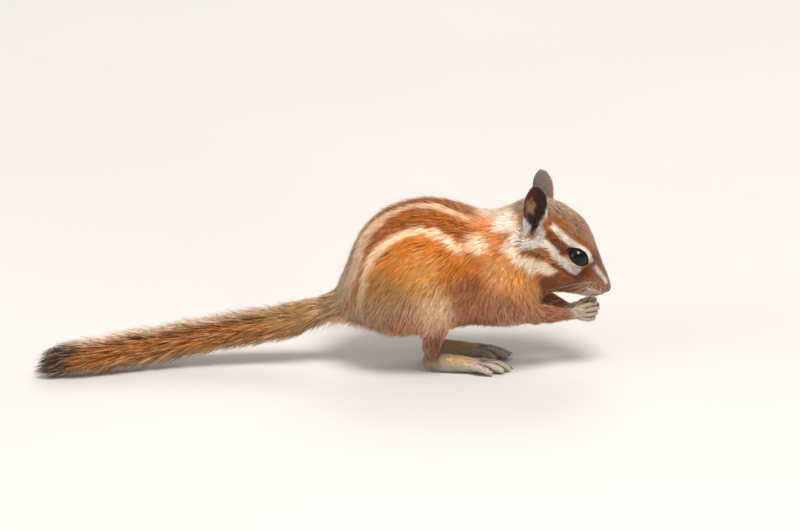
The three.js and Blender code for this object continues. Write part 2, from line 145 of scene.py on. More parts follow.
# ---- skin: the body under the coat ----
# One hide over head, trunk, legs and the thin bony tail, in one piece without a seam. It is
# the flesh solids fused and rounded off, then drawn in by the depth of the coat at each place.
SKIN_CELL = 0.28
CUT_CLOSER = 0.2  # each solid swells by this, which closes the thin cuts between them
TAIL_CORE = 2.7  # radius of the bony tail under the brush, at its root
TAIL_CORE_END = 1.0
TAIL_THINS_AT = -64  # behind this x the bony tail is drawn in, to end inside the hair
TAIL_DRAWN_IN = 0.74
SOCKET_INSET = 0.35  # how far the flesh behind each eye stays under the ball
NOSE_BED, MUZZLE_END = 1.45, 2.3  # radii of the flesh that bears the nose pad
FOOT_Y = 8.5  # each foot's middle line, out from the body's
FLOOR_CLEAR = 0.04
TOE_REACH = (59.6, 63.4, 64.2, 61.9, 57.8)  # x of the toe tips, the innermost first
PALM = np.array([88.3, 3.3, 20.4])
FINGER_LENGTH = 7.4  # the longest; the outer ones are shorter
PAW_SHIFT = -1.2  # the paws meet in front of the turned mouth

SIDES = ("right_", "left_")
GROUPS = {
    "trunk": ["neck", "chest", "rump", "tail_root"],
    "thigh": [side + "thigh" for side in SIDES],
    "arm": [side + "upper_arm" for side in SIDES],
    "head": ["head"],
    "ear": [side + "ear" for side in SIDES],
    "shank": [side + "shank" for side in SIDES],
    "foot": [side + "hind_foot" for side in SIDES],
    "forearm": [side + "forearm" for side in SIDES],
    "paw": [side + "forepaw" for side in SIDES],
    "tail": ["tail_upper", "tail_middle", "tail_end"],
}
GROUP = {name: i for i, name in enumerate(GROUPS)}
flesh_nodes = [node for nodes_in in GROUPS.values() for node in nodes_in]


def middle(node):
    low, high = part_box(node)
    return np.array((low + high) / 2) / MM


def unit(v):
    return v / np.maximum(np.linalg.norm(v, axis=-1, keepdims=True), 1e-9)


def step(low, high, v):
    """0 below low, 1 above high, with a smooth rise between."""
    t = np.clip((v - low) / (high - low), 0, 1)
    return t * t * (3 - 2 * t)


# The head is turned a little to the animal's right about an upright line through the neck.
HEAD_TURN = math.radians(-8)
NECK_X = 72.3
turn_cos, turn_sin = math.cos(HEAD_TURN), math.sin(HEAD_TURN)


def to_head(v, place=True):
    """Places or directions in the head's own frame, where y = 0 is its middle."""
    x, y = v[:, 0] - (NECK_X if place else 0), v[:, 1]
    along = x * turn_cos + y * turn_sin + (NECK_X if place else 0)
    return np.stack([along, y * turn_cos - x * turn_sin, v[:, 2]], 1)


def from_head(v, place=True):
    x, y = v[:, 0] - (NECK_X if place else 0), v[:, 1]
    along = x * turn_cos - y * turn_sin + (NECK_X if place else 0)
    return np.stack([along, y * turn_cos + x * turn_sin, v[:, 2]], 1)


def pulled(items, name, width, kind=float):
    """One attribute of every vertex, edge, face or loop of a mesh, as rows."""
    flat = np.empty(len(items) * width, kind)
    items.foreach_get(name, flat)
    return flat.reshape(-1, width)


def vertex_places(mesh):
    return pulled(mesh.vertices, "co", 3) / MM


# The tail's middle line and radius, from upright cuts through the brush that the solids give.
tail_x = np.arange(-98, 13, 5.0)
tail_edges = []
for node in ["tail_root"] + GROUPS["tail"]:
    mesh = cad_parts[node].data
    tail_edges.append(vertex_places(mesh)[pulled(mesh.edges, "vertices", 2, int)])
tail_edges = np.concatenate(tail_edges)
tail_rows = []
for x in tail_x:
    start, end = tail_edges[:, 0], tail_edges[:, 1]
    cut = (start[:, 0] < x) != (end[:, 0] < x)
    start, end = start[cut], end[cut]
    crossing = start + (end - start) * ((x - start[:, 0]) / (end[:, 0] - start[:, 0]))[:, None]
    low, high = crossing.min(0), crossing.max(0)
    tail_rows.append([*(low + high)[1:] / 2, (high - low)[1] / 2])
tail_rows = np.array(tail_rows)


def tail_middle_at(x):
    """Side, height and radius of the brush at x."""
    return np.stack([np.interp(x, tail_x, tail_rows[:, k]) for k in range(3)], 1)


def drawn_to_core(points):
    """The tail solid squeezed round its middle line to the bony tail, ending short of the hair."""
    x = points[:, 0]
    core_x = np.where(x < TAIL_THINS_AT, TAIL_THINS_AT + (x - TAIL_THINS_AT) * TAIL_DRAWN_IN, x)
    radius = np.interp(x, [-100, 0], [TAIL_CORE_END, TAIL_CORE])
    outer = tail_middle_at(x)
    keep = radius / outer[:, 2]
    keep = keep + (1 - keep) * step(-9, 9, x)
    moved = tail_middle_at(core_x)
    return np.stack([core_x, *(moved[:, :2] + (points[:, 1:] - outer[:, :2]) * keep[:, None]).T], 1)


def hull_between(start, start_radii, end, end_radii):
    """Closed round-ended flesh between two ellipsoids."""
    bm = bmesh.new()
    for centre, radii in ((start, start_radii), (end, end_radii)):
        ball = bmesh.ops.create_icosphere(bm, subdivisions=3, radius=1)["verts"]
        for vertex in ball:
            vertex.co = Vector(np.array(vertex.co) * np.broadcast_to(radii, 3) + np.array(centre))
    hull = bmesh.ops.convex_hull(bm, input=bm.verts)
    spare = hull["geom_interior"] + hull["geom_unused"]
    inside = {part for part in spare if isinstance(part, bmesh.types.BMVert)}
    bmesh.ops.delete(bm, geom=list(inside), context="VERTS")
    bmesh.ops.recalc_face_normals(bm, faces=bm.faces)
    bm.verts.index_update()
    points = np.array([v.co for v in bm.verts])
    faces = np.array([[v.index for v in f.verts] for f in bm.faces])
    bm.free()
    return points, faces


def chain(stations):
    """Flesh along a few stations, each a place and its radii."""
    return [hull_between(*a, *b) for a, b in zip(stations[:-1], stations[1:])]


def toe_line(toe, side):
    """Knuckles of one hind toe, from the innermost to the short outer one."""
    splay = (toe - 2) / 2
    y = side * FOOT_Y
    reach = TOE_REACH[toe]
    return [((54.0 - 1.6 * abs(splay), y + side * 3.0 * splay, 2.6), 1.5),
            ((reach - 4.2, y + side * 4.0 * splay, 2.9), 1.4),
            ((reach - 1.5, y + side * 4.7 * splay, 2.1), 1.3),
            ((reach, y + side * 4.9 * splay, 1.45), 1.12)]


def finger_line(finger, side):
    """Knuckles of one finger, curled in towards the other paw."""
    rise = finger - 1.5
    long = FINGER_LENGTH - 0.95 * abs(rise - 0.3)

    def at(dx, dy, dz):
        return (PALM[0] + dx, side * (PALM[1] - dy) + PAW_SHIFT, PALM[2] + dz)

    return [(at(1.0, -0.1, rise * 1.45), 0.92),
            (at(long * 0.62, -0.35, rise * 1.86 + 0.3), 0.82),
            (at(long * 0.94, 0.8, rise * 1.84 + 0.4), 0.76),
            (at(long * 0.97, 1.9, rise * 1.7 + 0.35), 0.64)]


def foot_flesh(side):
    y = side * FOOT_Y
    flesh = chain([((36.6, y * 0.96, 4.3), (2.3, 2.2, 3.6)), ((43.5, y * 0.98, 3.5), (2.4, 2.9, 3.2)),
                   ((49.5, y, 3.0), (2.5, 3.4, 2.75)), ((54.6, y, 2.4), (2.5, 4.0, 2.2))])
    for toe in range(5):
        flesh += chain(toe_line(toe, side))
    return flesh


def paw_flesh(side):
    y = side * PALM[1] + PAW_SHIFT
    flesh = chain([((85.0, y + side * 0.3, 19.7), (1.6, 1.5, 1.75)), ((88.0, y, 20.2), (2.2, 1.45, 2.5)),
                   ((90.0, y, 20.5), (1.8, 1.3, 2.5))])
    flesh += chain([((87.6, y - side * 1.0, 22.0), 0.8), ((89.4, y - side * 1.7, 22.7), 0.62)])  # thumb
    for finger in range(4):
        flesh += chain(finger_line(finger, side))
    return flesh


def evaluated(made):
    """A new mesh of an object as its modifiers leave it."""
    return bpy.data.meshes.new_from_object(made.evaluated_get(bpy.context.evaluated_depsgraph_get()))


def rounded_copy(node, levels):
    """A solid's points and faces, with its facets rounded by subdivision."""
    copy = placed("copy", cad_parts[node].data.copy())
    bm = bmesh.new()
    bm.from_mesh(copy.data)
    bmesh.ops.remove_doubles(bm, verts=bm.verts, dist=1e-6)
    bm.to_mesh(copy.data)
    bm.free()
    if levels:
        finer = copy.modifiers.new("finer", "SUBSURF")
        finer.levels = finer.render_levels = levels
    mesh = evaluated(copy)
    bpy.data.objects.remove(copy)
    mesh.calc_loop_triangles()
    faces = pulled(mesh.loop_triangles, "vertices", 3, int)
    return vertex_places(mesh) + pulled(mesh.vertices, "normal", 3) * CUT_CLOSER, faces


fused_points, fused_faces, owner_points, owner_groups = [], [], [], []
base = 0
for group, members in GROUPS.items():
    for node in members:
        side = -1 if node.startswith("right") else 1
        if group == "foot":
            pieces = foot_flesh(side)
        elif group == "paw":
            pieces = paw_flesh(side)
        else:
            pieces = [rounded_copy(node, 2 if group == "ear" else 0)]
        for points, faces in pieces:
            if node in GROUPS["tail"] + ["tail_root"]:
                points = drawn_to_core(points)
            fused_points.append(points)
            fused_faces.append(faces + base)
            base += len(points)
            centres = points[faces].mean(1)
            owner_points.append(np.concatenate([points, centres]))
            owner_groups.append(np.full(len(points) + len(faces), GROUP[group]))

eye_centres = np.array([middle(side + "eye") for side in SIDES])
eye_radius = (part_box("right_eye")[1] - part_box("right_eye")[0])[2] / 2 / MM
nose_middle = middle("nose")
behind_nose = nose_middle + from_head(np.array([[-1.5, 0, 0.7]]), place=False)[0]
balls = [(eye, eye_radius - SOCKET_INSET) for eye in eye_centres]
balls += [(nose_middle, NOSE_BED), (behind_nose, MUZZLE_END)]
for centre, radius in balls:
    points, faces = hull_between(centre, radius, centre + 0.01, radius)
    fused_points.append(points)
    fused_faces.append(faces + base)
    base += len(points)

body = bpy.data.meshes.new("body")
body.from_pydata((np.concatenate(fused_points) * MM).tolist(), [], np.concatenate(fused_faces).tolist())
skin = placed("skin", body)
fuse = skin.modifiers.new("fuse", "REMESH")
fuse.mode = "VOXEL"
fuse.voxel_size = SKIN_CELL * MM
hide = evaluated(skin)
skin.modifiers.clear()
skin.data = hide


class Net:
    """The edges of a mesh, for drawing each vertex's values towards its neighbours'."""

    def __init__(self, mesh):
        self.count = len(mesh.vertices)
        ends = pulled(mesh.edges, "vertices", 2, int)
        self.start, self.end = ends.T
        self.shared = np.bincount(ends.ravel(), minlength=self.count)[:, None]

    def smoothed(self, values, weight, rounds):
        for _ in range(rounds):
            total = [np.bincount(self.start, column[self.end], self.count)
                     + np.bincount(self.end, column[self.start], self.count) for column in values.T]
            mean = np.stack(total, 1) / self.shared
            values = values + weight * (mean - values)
        return values


def tree_of(points):
    tree = KDTree(len(points))
    for i, point in enumerate(points.tolist()):
        tree.insert(point, i)
    tree.balance()
    return tree


def nearest(tree, points):
    find = tree.find
    return np.array([find(point)[1] for point in points.tolist()])


def set_places(mesh, points):
    """Moves the mesh's vertices and returns their new normals."""
    mesh.vertices.foreach_set("co", (points * MM).ravel())
    mesh.update()
    return unit(pulled(mesh.vertices, "normal", 3))


owner_tree = tree_of(np.concatenate(owner_points))
owner_groups = np.concatenate(owner_groups)


def belonging(points, net, rounds):
    """How much of each group every vertex belongs to, soft across the borders."""
    soft = net.smoothed(np.eye(len(GROUPS))[owner_groups[nearest(owner_tree, points)]], 0.5, rounds)
    return soft / soft.sum(1, keepdims=True)


# How far the roundness spreads in mm: broad on the trunk, fine on the face and digits.
ROUNDNESS = {"trunk": 2.0, "thigh": 1.9, "arm": 1.6, "head": 1.15, "ear": 0.42, "shank": 1.0,
             "foot": 0.3, "forearm": 0.9, "paw": 0.2, "tail": 1.2}
ROUNDS = 170
outer = vertex_places(hide)
net = Net(hide)
belongs = belonging(outer, net, 20)
rounding = belongs @ np.array([ROUNDNESS[name] for name in GROUPS])
# The snout keeps more of its shape.
rounding = rounding * (1 - 0.4 * step(88, 96, to_head(outer)[:, 0]) * belongs[:, GROUP["head"]])
round_weight = np.minimum(2 * rounding ** 2 / (ROUNDS * SKIN_CELL ** 2), 0.6)[:, None]
outer = net.smoothed(outer, round_weight, ROUNDS)
outer[:, 2] = np.maximum(outer[:, 2], FLOOR_CLEAR)
set_places(hide, outer)

# The trunk needs fewer, larger faces than the head, ears and digits do: how many are kept.
PLAIN_FACES, FINE_FACES = 52000, 125000
plainness = belongs[:, [GROUP[name] for name in ("trunk", "thigh", "arm", "tail", "shank")]].sum(1)
face_ends = np.array([polygon.vertices[0] for polygon in hide.polygons])
plain_now = 2 * (plainness[face_ends] > 0.5).sum()
fine_now = 2 * len(face_ends) - plain_now
for name, chosen, ratio in (
    ("plain", plainness > 0.5, (PLAIN_FACES + fine_now) / (plain_now + fine_now)),
    ("fine", plainness <= 0.5, (PLAIN_FACES + FINE_FACES) / (PLAIN_FACES + fine_now)),
):
    skin.vertex_groups.new(name=name).add(np.flatnonzero(chosen).tolist(), 1.0, "REPLACE")
    thin = skin.modifiers.new(name, "DECIMATE")
    thin.ratio = ratio
    thin.vertex_group = name
hide = evaluated(skin)
skin.modifiers.clear()

# A finer weave round the eyes, where the lids are shaped.
LIDS_X, LIDS_X_REACH = 89, 8  # only edges this near to this x are looked at
LID_REACH, LID_EDGE = 5.4, 0.2  # only edges this near an eye and longer than this are halved
bm = bmesh.new()
bm.from_mesh(hide)
near_eye = []
for edge in bm.edges:
    at = (np.array(edge.verts[0].co) + np.array(edge.verts[1].co)) / 2 / MM
    if abs(at[0] - LIDS_X) >= LIDS_X_REACH or edge.calc_length() <= LID_EDGE * MM:
        continue
    if np.linalg.norm(eye_centres - at, axis=1).min() < LID_REACH:
        near_eye.append(edge)
bmesh.ops.subdivide_edges(bm, edges=near_eye, cuts=1, use_grid_fill=True)
bmesh.ops.triangulate(bm, faces=[f for f in bm.faces if len(f.verts) > 3])
bm.to_mesh(hide)
bm.free()
hide.name = "skin"
skin.data = hide
skin.vertex_groups.clear()
net = Net(hide)
outer = vertex_places(hide)
outer_normal = set_places(hide, outer)
belongs = belonging(outer, net, 6)
head_places = to_head(outer)
skin_count = len(outer)


def spread(rows, points, power=2.0):
    """Values known at a few places, carried smoothly to every point between them."""
    rows = np.array(rows, float)
    total = np.zeros((len(points), rows.shape[1] - 3))
    weights = np.zeros(len(points))
    for row in rows:
        weight = 1 / (((points - row[:3]) ** 2).sum(1) + 1.0) ** power
        total += weight[:, None] * row[3:]
        weights += weight
    return total / weights[:, None]


# How the coat lies: at a place (x, distance from the middle, z), the way it points, its
# length and its depth over the skin, all in mm.
TRUNK_LIE = [
    (68, 0, 58, -1, 0, -0.3, 5.5, 1.9),
    (64, 13, 48, -0.85, 0.1, -0.55, 5.5, 2.0),
    (57, 0, 55, -1, 0, -0.05, 6, 2.2),
    (50, 8, 55, -1, 0.05, -0.05, 6, 2.3),
    (36, 0, 60, -1, 0, -0.05, 6.5, 2.4),
    (36, 14, 54, -1, 0.1, -0.25, 6.5, 2.4),
    (20, 0, 55, -0.85, 0, -0.55, 7, 2.5),
    (22, 12, 52, -0.85, 0.1, -0.55, 7, 2.5),
    (9, 0, 43, -0.35, 0, -0.95, 7.5, 2.7),
    (4, 0, 28, -0.75, 0, -0.6, 8, 2.4),
    (12, 13, 33, -0.45, 0.05, -0.9, 7.5, 2.7),
    (40, 19, 43, -0.85, 0.1, -0.6, 6.5, 2.4),
    (27, 18, 48, -0.8, 0.15, -0.6, 7, 2.5),
    (27, 21, 37, -0.6, 0.05, -0.85, 7, 2.6),
    (22, 20, 25, -0.35, -0.1, -0.95, 7.5, 2.6),
    (24, 14, 15, -0.3, -0.3, -0.9, 7.5, 2.6),
    (41, 17, 32, -0.25, 0.05, -1, 6, 2.2),
    (42, 16, 25, -0.2, -0.1, -1, 5, 1.8),
    (48, 16, 33, -0.6, 0, -0.8, 6.5, 2.3),
    (48, 6, 21, -0.75, -0.1, -0.45, 6.5, 2.2),
    (34, 0, 17, -0.8, 0, -0.3, 6.5, 2.2),
    (12, 6, 17, -0.4, -0.1, -0.95, 9.5, 2.8),
    (22, 6, 14.5, -0.4, -0.1, -0.9, 8.5, 2.6),
    (58, 17, 42, -0.7, 0.1, -0.7, 6, 2.2),
    (62, 19, 34, -0.35, 0, -0.95, 5.5, 2.0),
    (68, 17, 30, 0.1, 0, -1, 5, 1.7),
    (66, 18, 24, 0.4, -0.1, -0.9, 5, 1.6),
    (60, 12, 18, 0.25, -0.2, -0.9, 6, 2.0),
    (56, 0, 20, -0.4, 0, -0.7, 6.5, 2.0),
    (72, 6, 27, 0.1, 0.1, -1, 4, 1.5),
]
HEAD_LIE = [
    (96.5, 0, 35.5, -0.55, 0, 0.83, 1.3, 0.35),
    (95.5, 4, 32, -0.75, 0.3, 0.45, 1.3, 0.3),
    (92, 2.5, 26, -0.95, 0.1, 0, 1.7, 0.45),
    (91.5, 0, 45.5, -0.65, 0, 0.75, 2.0, 0.6),
    (93, 5.5, 38, -0.75, 0.45, 0.4, 1.3, 0.35),
    (87, 7.5, 49, -0.8, 0.1, 0.5, 1.8, 0.5),
    (88, 9.5, 37, -0.85, 0.3, 0.3, 1.8, 0.5),
    (82, 11, 46, -0.95, 0.2, 0.15, 2.4, 0.75),
    (84, 0, 55, -0.85, 0, 0.5, 2.8, 0.95),
    (77, 0, 60, -1, 0, 0.05, 3.2, 1.2),
    (71, 0, 58, -0.95, 0, -0.35, 4.5, 1.8),
    (80, 12, 38, -0.95, 0.15, -0.05, 3.0, 1.1),
    (73, 14, 43, -0.85, 0.1, -0.45, 3.8, 1.5),
    (84, 7, 31, -0.9, 0.1, -0.1, 2.4, 0.8),
    (78, 4, 28, -0.8, 0, -0.5, 3.2, 1.2),
    (79, 9, 53, -0.75, 0.2, 0.55, 1.8, 0.5),
    (75, 13, 47, -0.8, 0.2, -0.4, 2.4, 0.8),
]
EAR_LIE = [
    (74, 11, 49, -0.1, 0, 1, 1.9, 0.3),
    (74, 11, 58, -0.1, 0, 1, 1.3, 0.12),
    (74, 11, 67, -0.1, 0, 1, 1.1, 0.08),
]
HIND_LIE = [
    (39, 17, 22, -0.15, -0.2, -1, 5.2, 1.7),
    (34, 11, 15, -0.35, -0.1, -1, 6.5, 1.5),
    (42, 11, 13, 0, -0.2, -1, 3.8, 1.1),
    (35, 8, 9, -0.1, 0, -1, 3.4, 0.9),
    (40, 8, 8, 0.25, 0, -1, 2.2, 0.6),
    (36, 8, 3, 0.8, 0, -0.4, 1.3, 0.3),
    (44, 8.3, 5.5, 1, 0, -0.3, 1.7, 0.35),
    (53, 8.6, 4, 1, 0, -0.15, 1.4, 0.25),
    (63, 8.6, 2, 1, 0, -0.2, 1.0, 0.15),
]
FORE_LIE = [
    (67, 13, 22, 0.8, -0.3, -0.6, 4.2, 1.3),
    (74, 11, 21, 0.92, -0.3, -0.4, 3.6, 1.0),
    (81, 7, 19, 0.95, -0.4, -0.2, 2.6, 0.6),
    (87, 4, 19, 1, -0.1, 0, 1.4, 0.25),
    (94, 4, 19, 1, 0.2, 0, 0.9, 0.12),
]


def on_one_side(points):
    """Both sides folded onto one, and which side each point came from."""
    side = np.where(points[:, 1] < 0, -1.0, 1.0)
    return points * np.stack([np.ones(len(side)), side, np.ones(len(side))], 1), side


def coat_of(rows, points):
    folded, side = on_one_side(points)
    found = spread(rows, folded)
    found[:, 1] *= side
    return found


TAIL_COAT = [9.0, 0.4]  # length and depth
tail_slope = np.gradient(tail_rows[:, :2], tail_x, axis=0)
tail_way = np.stack([np.full(skin_count, -1.0)]
                    + [-np.interp(outer[:, 0], tail_x, tail_slope[:, k]) for k in range(2)], 1)
body_coat = coat_of(TRUNK_LIE, outer)
head_coat = coat_of(HEAD_LIE, head_places)
head_coat[:, :3] = from_head(head_coat[:, :3], place=False)
ear_coat = coat_of(EAR_LIE, head_places)
hind_coat = coat_of(HIND_LIE, outer)
fore_coat = coat_of(FORE_LIE, outer)
tail_coat = np.hstack([tail_way, np.tile(TAIL_COAT, (skin_count, 1))])
coats = {"trunk": body_coat, "thigh": body_coat, "arm": body_coat, "head": head_coat, "ear": ear_coat,
         "shank": hind_coat, "foot": hind_coat, "forearm": fore_coat, "paw": fore_coat, "tail": tail_coat}
coat = sum(belongs[:, GROUP[name], None] * coats[name] for name in GROUPS)
coat = net.smoothed(coat, 0.5, 6)
coat_length, coat_depth = coat[:, 3], coat[:, 4]
eye_near = np.linalg.norm(outer[:, None] - eye_centres[None], axis=2).min(1)
coat_depth = coat_depth * (0.35 + 0.65 * step(4.2, 7.5, eye_near))  # thin close to the eyes
places = outer - outer_normal * coat_depth[:, None]
digits = belongs[:, [GROUP[name] for name in ("ear", "paw", "foot")]].sum(1, keepdims=True)
places = net.smoothed(places, 0.3 * (1 - np.minimum(digits, 1)), 3)
places[:, 2] = np.maximum(places[:, 2], FLOOR_CLEAR)

# The lids: skin drawn up over the ball to a thin rim, with a shallow fold behind it.
EYE_OPENING = 3.45, 2.6  # half length and half height of the opening between the lids
LID_AXIS = np.array([[0.28, -0.93, 0.24], [0.28, 0.93, 0.24]])
LID_LONG = np.array([[0.77, 0.0, -0.63], [0.77, 0.0, -0.63]])
EYE_REACH = 6  # nothing farther than this from an eye's axis belongs to it
FRONT_CORNER, BACK_CORNER = 0.5, 0.9  # how far the opening is drawn out at its two ends
LID_LIFT, LID_THICK = 0.12, 0.24  # the rim's gap over the ball, and how it thickens past it
eye_axes = unit(from_head(LID_AXIS, place=False))
eye_longs = from_head(LID_LONG, place=False)
eye_longs = unit(eye_longs - eye_axes * (eye_longs * eye_axes).sum(1, keepdims=True))
eye_crosses = np.cross(eye_axes, eye_longs)


def eye_places(points, eye):
    """Distance along the eye's axis, distance from it, the opening's edge there, and its corner."""
    way = points - eye_centres[eye]
    ahead = way @ eye_axes[eye]
    long, cross = way @ eye_longs[eye], way @ eye_crosses[eye]
    aside = np.hypot(long, cross)
    turn = np.arctan2(cross, long)
    half_long, half_high = EYE_OPENING
    edge = half_long * half_high / np.hypot(half_high * np.cos(turn), half_long * np.sin(turn))
    corner = np.abs(np.cos(turn)) ** 14 * np.where(long < 0, BACK_CORNER, FRONT_CORNER)
    return ahead, aside, edge, corner


for eye in range(2):
    ahead, aside, edge, _ = eye_places(places, eye)
    past = aside - edge
    ball = np.sqrt(np.maximum(eye_radius ** 2 - edge ** 2, 0.3))
    lid = ball + LID_LIFT + LID_THICK * step(0, 0.4, past) - 0.55 * np.maximum(past, 0)
    lid -= 0.12 * np.exp(-((past - 0.85) / 0.22) ** 2)
    inside = np.sqrt(np.maximum((eye_radius - 0.6) ** 2 - np.minimum(aside, eye_radius - 0.9) ** 2, 0))
    wanted = np.where(past < 0, inside + (lid - inside) * step(-0.3, 0, past), lid)
    hold = (1 - step(0.25, 2.5, past)) * (ahead > -1) * (ahead < eye_radius + 3)
    places += eye_axes[eye] * (hold * (wanted - ahead))[:, None]

skin_normal = set_places(hide, places)
lie = coat[:, :3] - skin_normal * (coat[:, :3] * skin_normal).sum(1, keepdims=True)
lie = net.smoothed(unit(lie), 0.5, 5)
lie = unit(lie - skin_normal * (lie * skin_normal).sum(1, keepdims=True))


# The markings, with some painted shade and a painted highlight, shared by skin and coat. Stripes follow
# angles down each side from the middle of the back; a tint is known at a few places (x, distance from the
# middle, z).
SPINE_X = [4.3, 12.3, 20.3, 30.3, 40.3, 50.3, 58.3, 66.3, 72.3]
SPINE_Z = [22.7, 29.7, 34.7, 37.2, 37.7, 36.3, 36.7, 41.7, 46.2]
SIDE_STRETCH = 1.08
STRIPE_X = [4, 12, 16, 20, 27, 36, 44, 50, 56]
STRIPE_EDGES = [  # angles at each STRIPE_X, from the upper edge of the pale stripe downwards
    [26, 22, 8, 5, 8, 8, 9, 13, 20],
    [62, 60, 42, 30, 18, 15, 18.5, 25, 30],
    [95, 80, 56, 45.5, 40, 38.8, 41, 48, 52],
    [110, 95, 80, 61, 50, 46.5, 49.5, 57.5, 61],
    [112, 100, 88, 71, 63, 60, 65.5, 74, 80],
]
BACK_RUFOUS = srgb(130, 74, 38)
PALE_STRIPE = srgb(222, 190, 160)
RUFOUS_STRIPE = srgb(168, 98, 46)
WHITE_STRIPE = srgb(240, 214, 186)
OUTER_RUFOUS = srgb(200, 127, 56)
TINT_POWER = 2.2
BODY_TINTS = [
    (9, 10, 42, *srgb(152, 124, 104)),
    (14, 16, 34, *srgb(158, 124, 88)),
    (24, 21, 36, *srgb(168, 123, 76)),
    (22, 20, 24, *srgb(150, 104, 70)),
    # low on the flank and belly: the coat's own buff-rust, darkened with painted shade and reddened with
    # painted light thrown up from below
    (20, 14, 15, *srgb(150, 88, 56)),
    (27, 18, 21, *srgb(174, 94, 56)),
    # the knee's bulge: paler with a painted highlight
    (41, 18, 29, *srgb(216, 183, 148)),
    (30, 19, 47, *srgb(200, 137, 70)),
    (38, 20, 42, *srgb(205, 154, 90)),
    (47, 17, 41, *srgb(190, 124, 62)),
    # the hollow behind the foreleg: darkened with painted shade
    (50, 16, 32, *srgb(170, 102, 64)),
    (54, 17, 38, *srgb(156, 94, 62)),
    (62, 18, 41, *srgb(202, 150, 94)),
    (68, 16, 37, *srgb(208, 150, 86)),
    (62, 19, 30, *srgb(162, 98, 62)),
    # the low chest: darkened with painted shade
    (58, 12, 20, *srgb(140, 70, 38)),
    (66, 15, 21, *srgb(156, 88, 58)),
    (60, 12, 51, *srgb(200, 138, 82)),
    (66, 0, 58, *srgb(202, 184, 166)),
    (44, 10, 22, *srgb(200, 136, 98)),
    (40, 0, 18, *srgb(222, 192, 166)),
    (16, 0, 15, *srgb(196, 158, 128)),
    (60, 0, 18, *srgb(222, 190, 164)),
    (5, 0, 33, *srgb(168, 146, 124)),
    (30, 0, 60, *srgb(170, 118, 80)),
]
SHOULDER_PATCH, SHOULDER_PATCH_SIZE = np.array([[56.5, 14.0, 49.4], [4.4, 6.0, 2.6]])
NECK_PATCH = [(64.8, 9.5, 54.3), (67, 7.9, 56.6), (67.6, 3.6, 60.2), (70.4, 5.4, 60), (70.2, 10.5, 54.5)]
NECK_WHITE = srgb(232, 219, 205)
HEAD_TINTS = [
    (82, 0, 58, *srgb(168, 136, 112)),
    (90, 0, 48, *srgb(154, 116, 92)),
    (96, 0, 38, *srgb(134, 100, 80)),
    (75, 0, 60, *srgb(164, 134, 112)),
    (95, 5, 34, *srgb(146, 106, 80)),
    (91, 6, 31, *srgb(170, 122, 94)),
    # under the jaw: the cheek's tan darkened with painted shade
    (86, 7, 30, *srgb(154, 96, 72)),
    (80, 9, 33, *srgb(152, 94, 66)),
    (92, 1, 26, *srgb(214, 186, 164)),
    (80, 0, 27, *srgb(192, 152, 124)),
    (76, 13, 36, *srgb(206, 146, 92)),
    (70, 14, 42, *srgb(208, 152, 92)),
    (88, 10, 36, *srgb(166, 104, 62)),
    (80, 10, 50, *srgb(160, 106, 66)),
    (68, 12, 50, *srgb(206, 160, 112)),
]
# Each face marking: its colour, its half width and softness in mm, and the bent line it follows.
FACE_LINES = [
    (srgb(232, 217, 196), 1.45, 0.8, [(68, 13.7, 48.2), (70.8, 14.2, 45.3), (73.9, 13.5, 42.6),
        (77.3, 12, 40.3)]),
    (srgb(236, 222, 201), 2.45, 0.8, [(76.5, 12.4, 40.6), (81, 11.2, 38.3)]),
    (srgb(176, 122, 62), 0.95, 0.7, [(67.7, 11.8, 52), (70.2, 13.2, 48.9), (73.8, 13.1, 46.1),
        (77.3, 12.3, 43.7), (80.4, 11.4, 42.1), (83, 10.9, 40.6), (84.4, 10.7, 39.2)]),
    (srgb(108, 66, 34), 0.4, 0.5, [(72.8, 13.1, 46.4), (75.6, 12.8, 44.9), (77.6, 12.2, 44.1)]),
    (srgb(122, 62, 34), 0.5, 0.5, [(82.6, 11, 40), (84.4, 10.7, 38.5), (86.6, 9.8, 36.8),
        (89.3, 6.5, 34.9)]),
    (srgb(156, 88, 42), 1.25, 0.8, [(90.2, 6.1, 35.6), (92.3, 4.9, 36), (93.6, 4.5, 35.4)]),
    (srgb(226, 215, 206), 1.15, 0.6, [(73, 11.8, 48.2), (77.2, 11.6, 48.6), (79.7, 11.7, 47.5),
        (82.1, 11, 45.1), (84.3, 10.4, 42.2), (86.1, 10.1, 39.8), (88, 9, 38), (89.8, 7, 36.9)]),
    (srgb(222, 212, 204), 1.7, 0.8, [(70, 12.9, 50.8), (71.6, 12.2, 48.8), (74.4, 11.6, 48),
        (77.6, 10.8, 50)]),
    (srgb(180, 114, 56), 1.0, 0.7, [(79.9, 10.5, 52.4), (81.5, 10.3, 51.2)]),
    (srgb(118, 62, 32), 1.2, 0.7, [(80.7, 10.9, 50.2), (82.5, 10.6, 48.3), (84.9, 10.1, 46.1),
        (85.8, 9.8, 44.3)]),
    (srgb(230, 217, 205), 0.9, 0.6, [(80.8, 9.5, 53.7), (82.4, 9.7, 52), (84.2, 9.5, 50.4),
        (86.2, 9.2, 48.3), (88.4, 8.8, 46.6), (91, 7.9, 44.8), (92.7, 5.6, 42.3), (93.4, 4.4, 39.8)]),
    (srgb(160, 98, 52), 0.65, 0.6, [(83, 7.7, 54.7), (85.3, 7.8, 52.9), (87.6, 7.7, 50.7),
        (89.8, 7.5, 48.3), (92.2, 6.2, 45.8), (93.7, 3.7, 42.2)]),
    (srgb(164, 94, 44), 0.8, 0.6, [(78.9, 7, 57.6), (80, 8.8, 55.3), (80.6, 9.8, 53.6)]),
    (srgb(228, 214, 200), 0.6, 0.6, [(95.1, 3.3, 37), (96.1, 3, 35.4), (97.5, 2.5, 33.6),
        (98.6, 1.9, 31.6)]),
    (srgb(214, 190, 168), 0.5, 0.5, [(92.6, 4.6, 29.4), (95.5, 4.2, 28.8), (98, 2.3, 28)]),
]
EAR_FACES = 0.46, 0.89  # forward and sideways: the way an ear's hollow looks, in the head's frame
EAR_DARK = srgb(46, 26, 18)
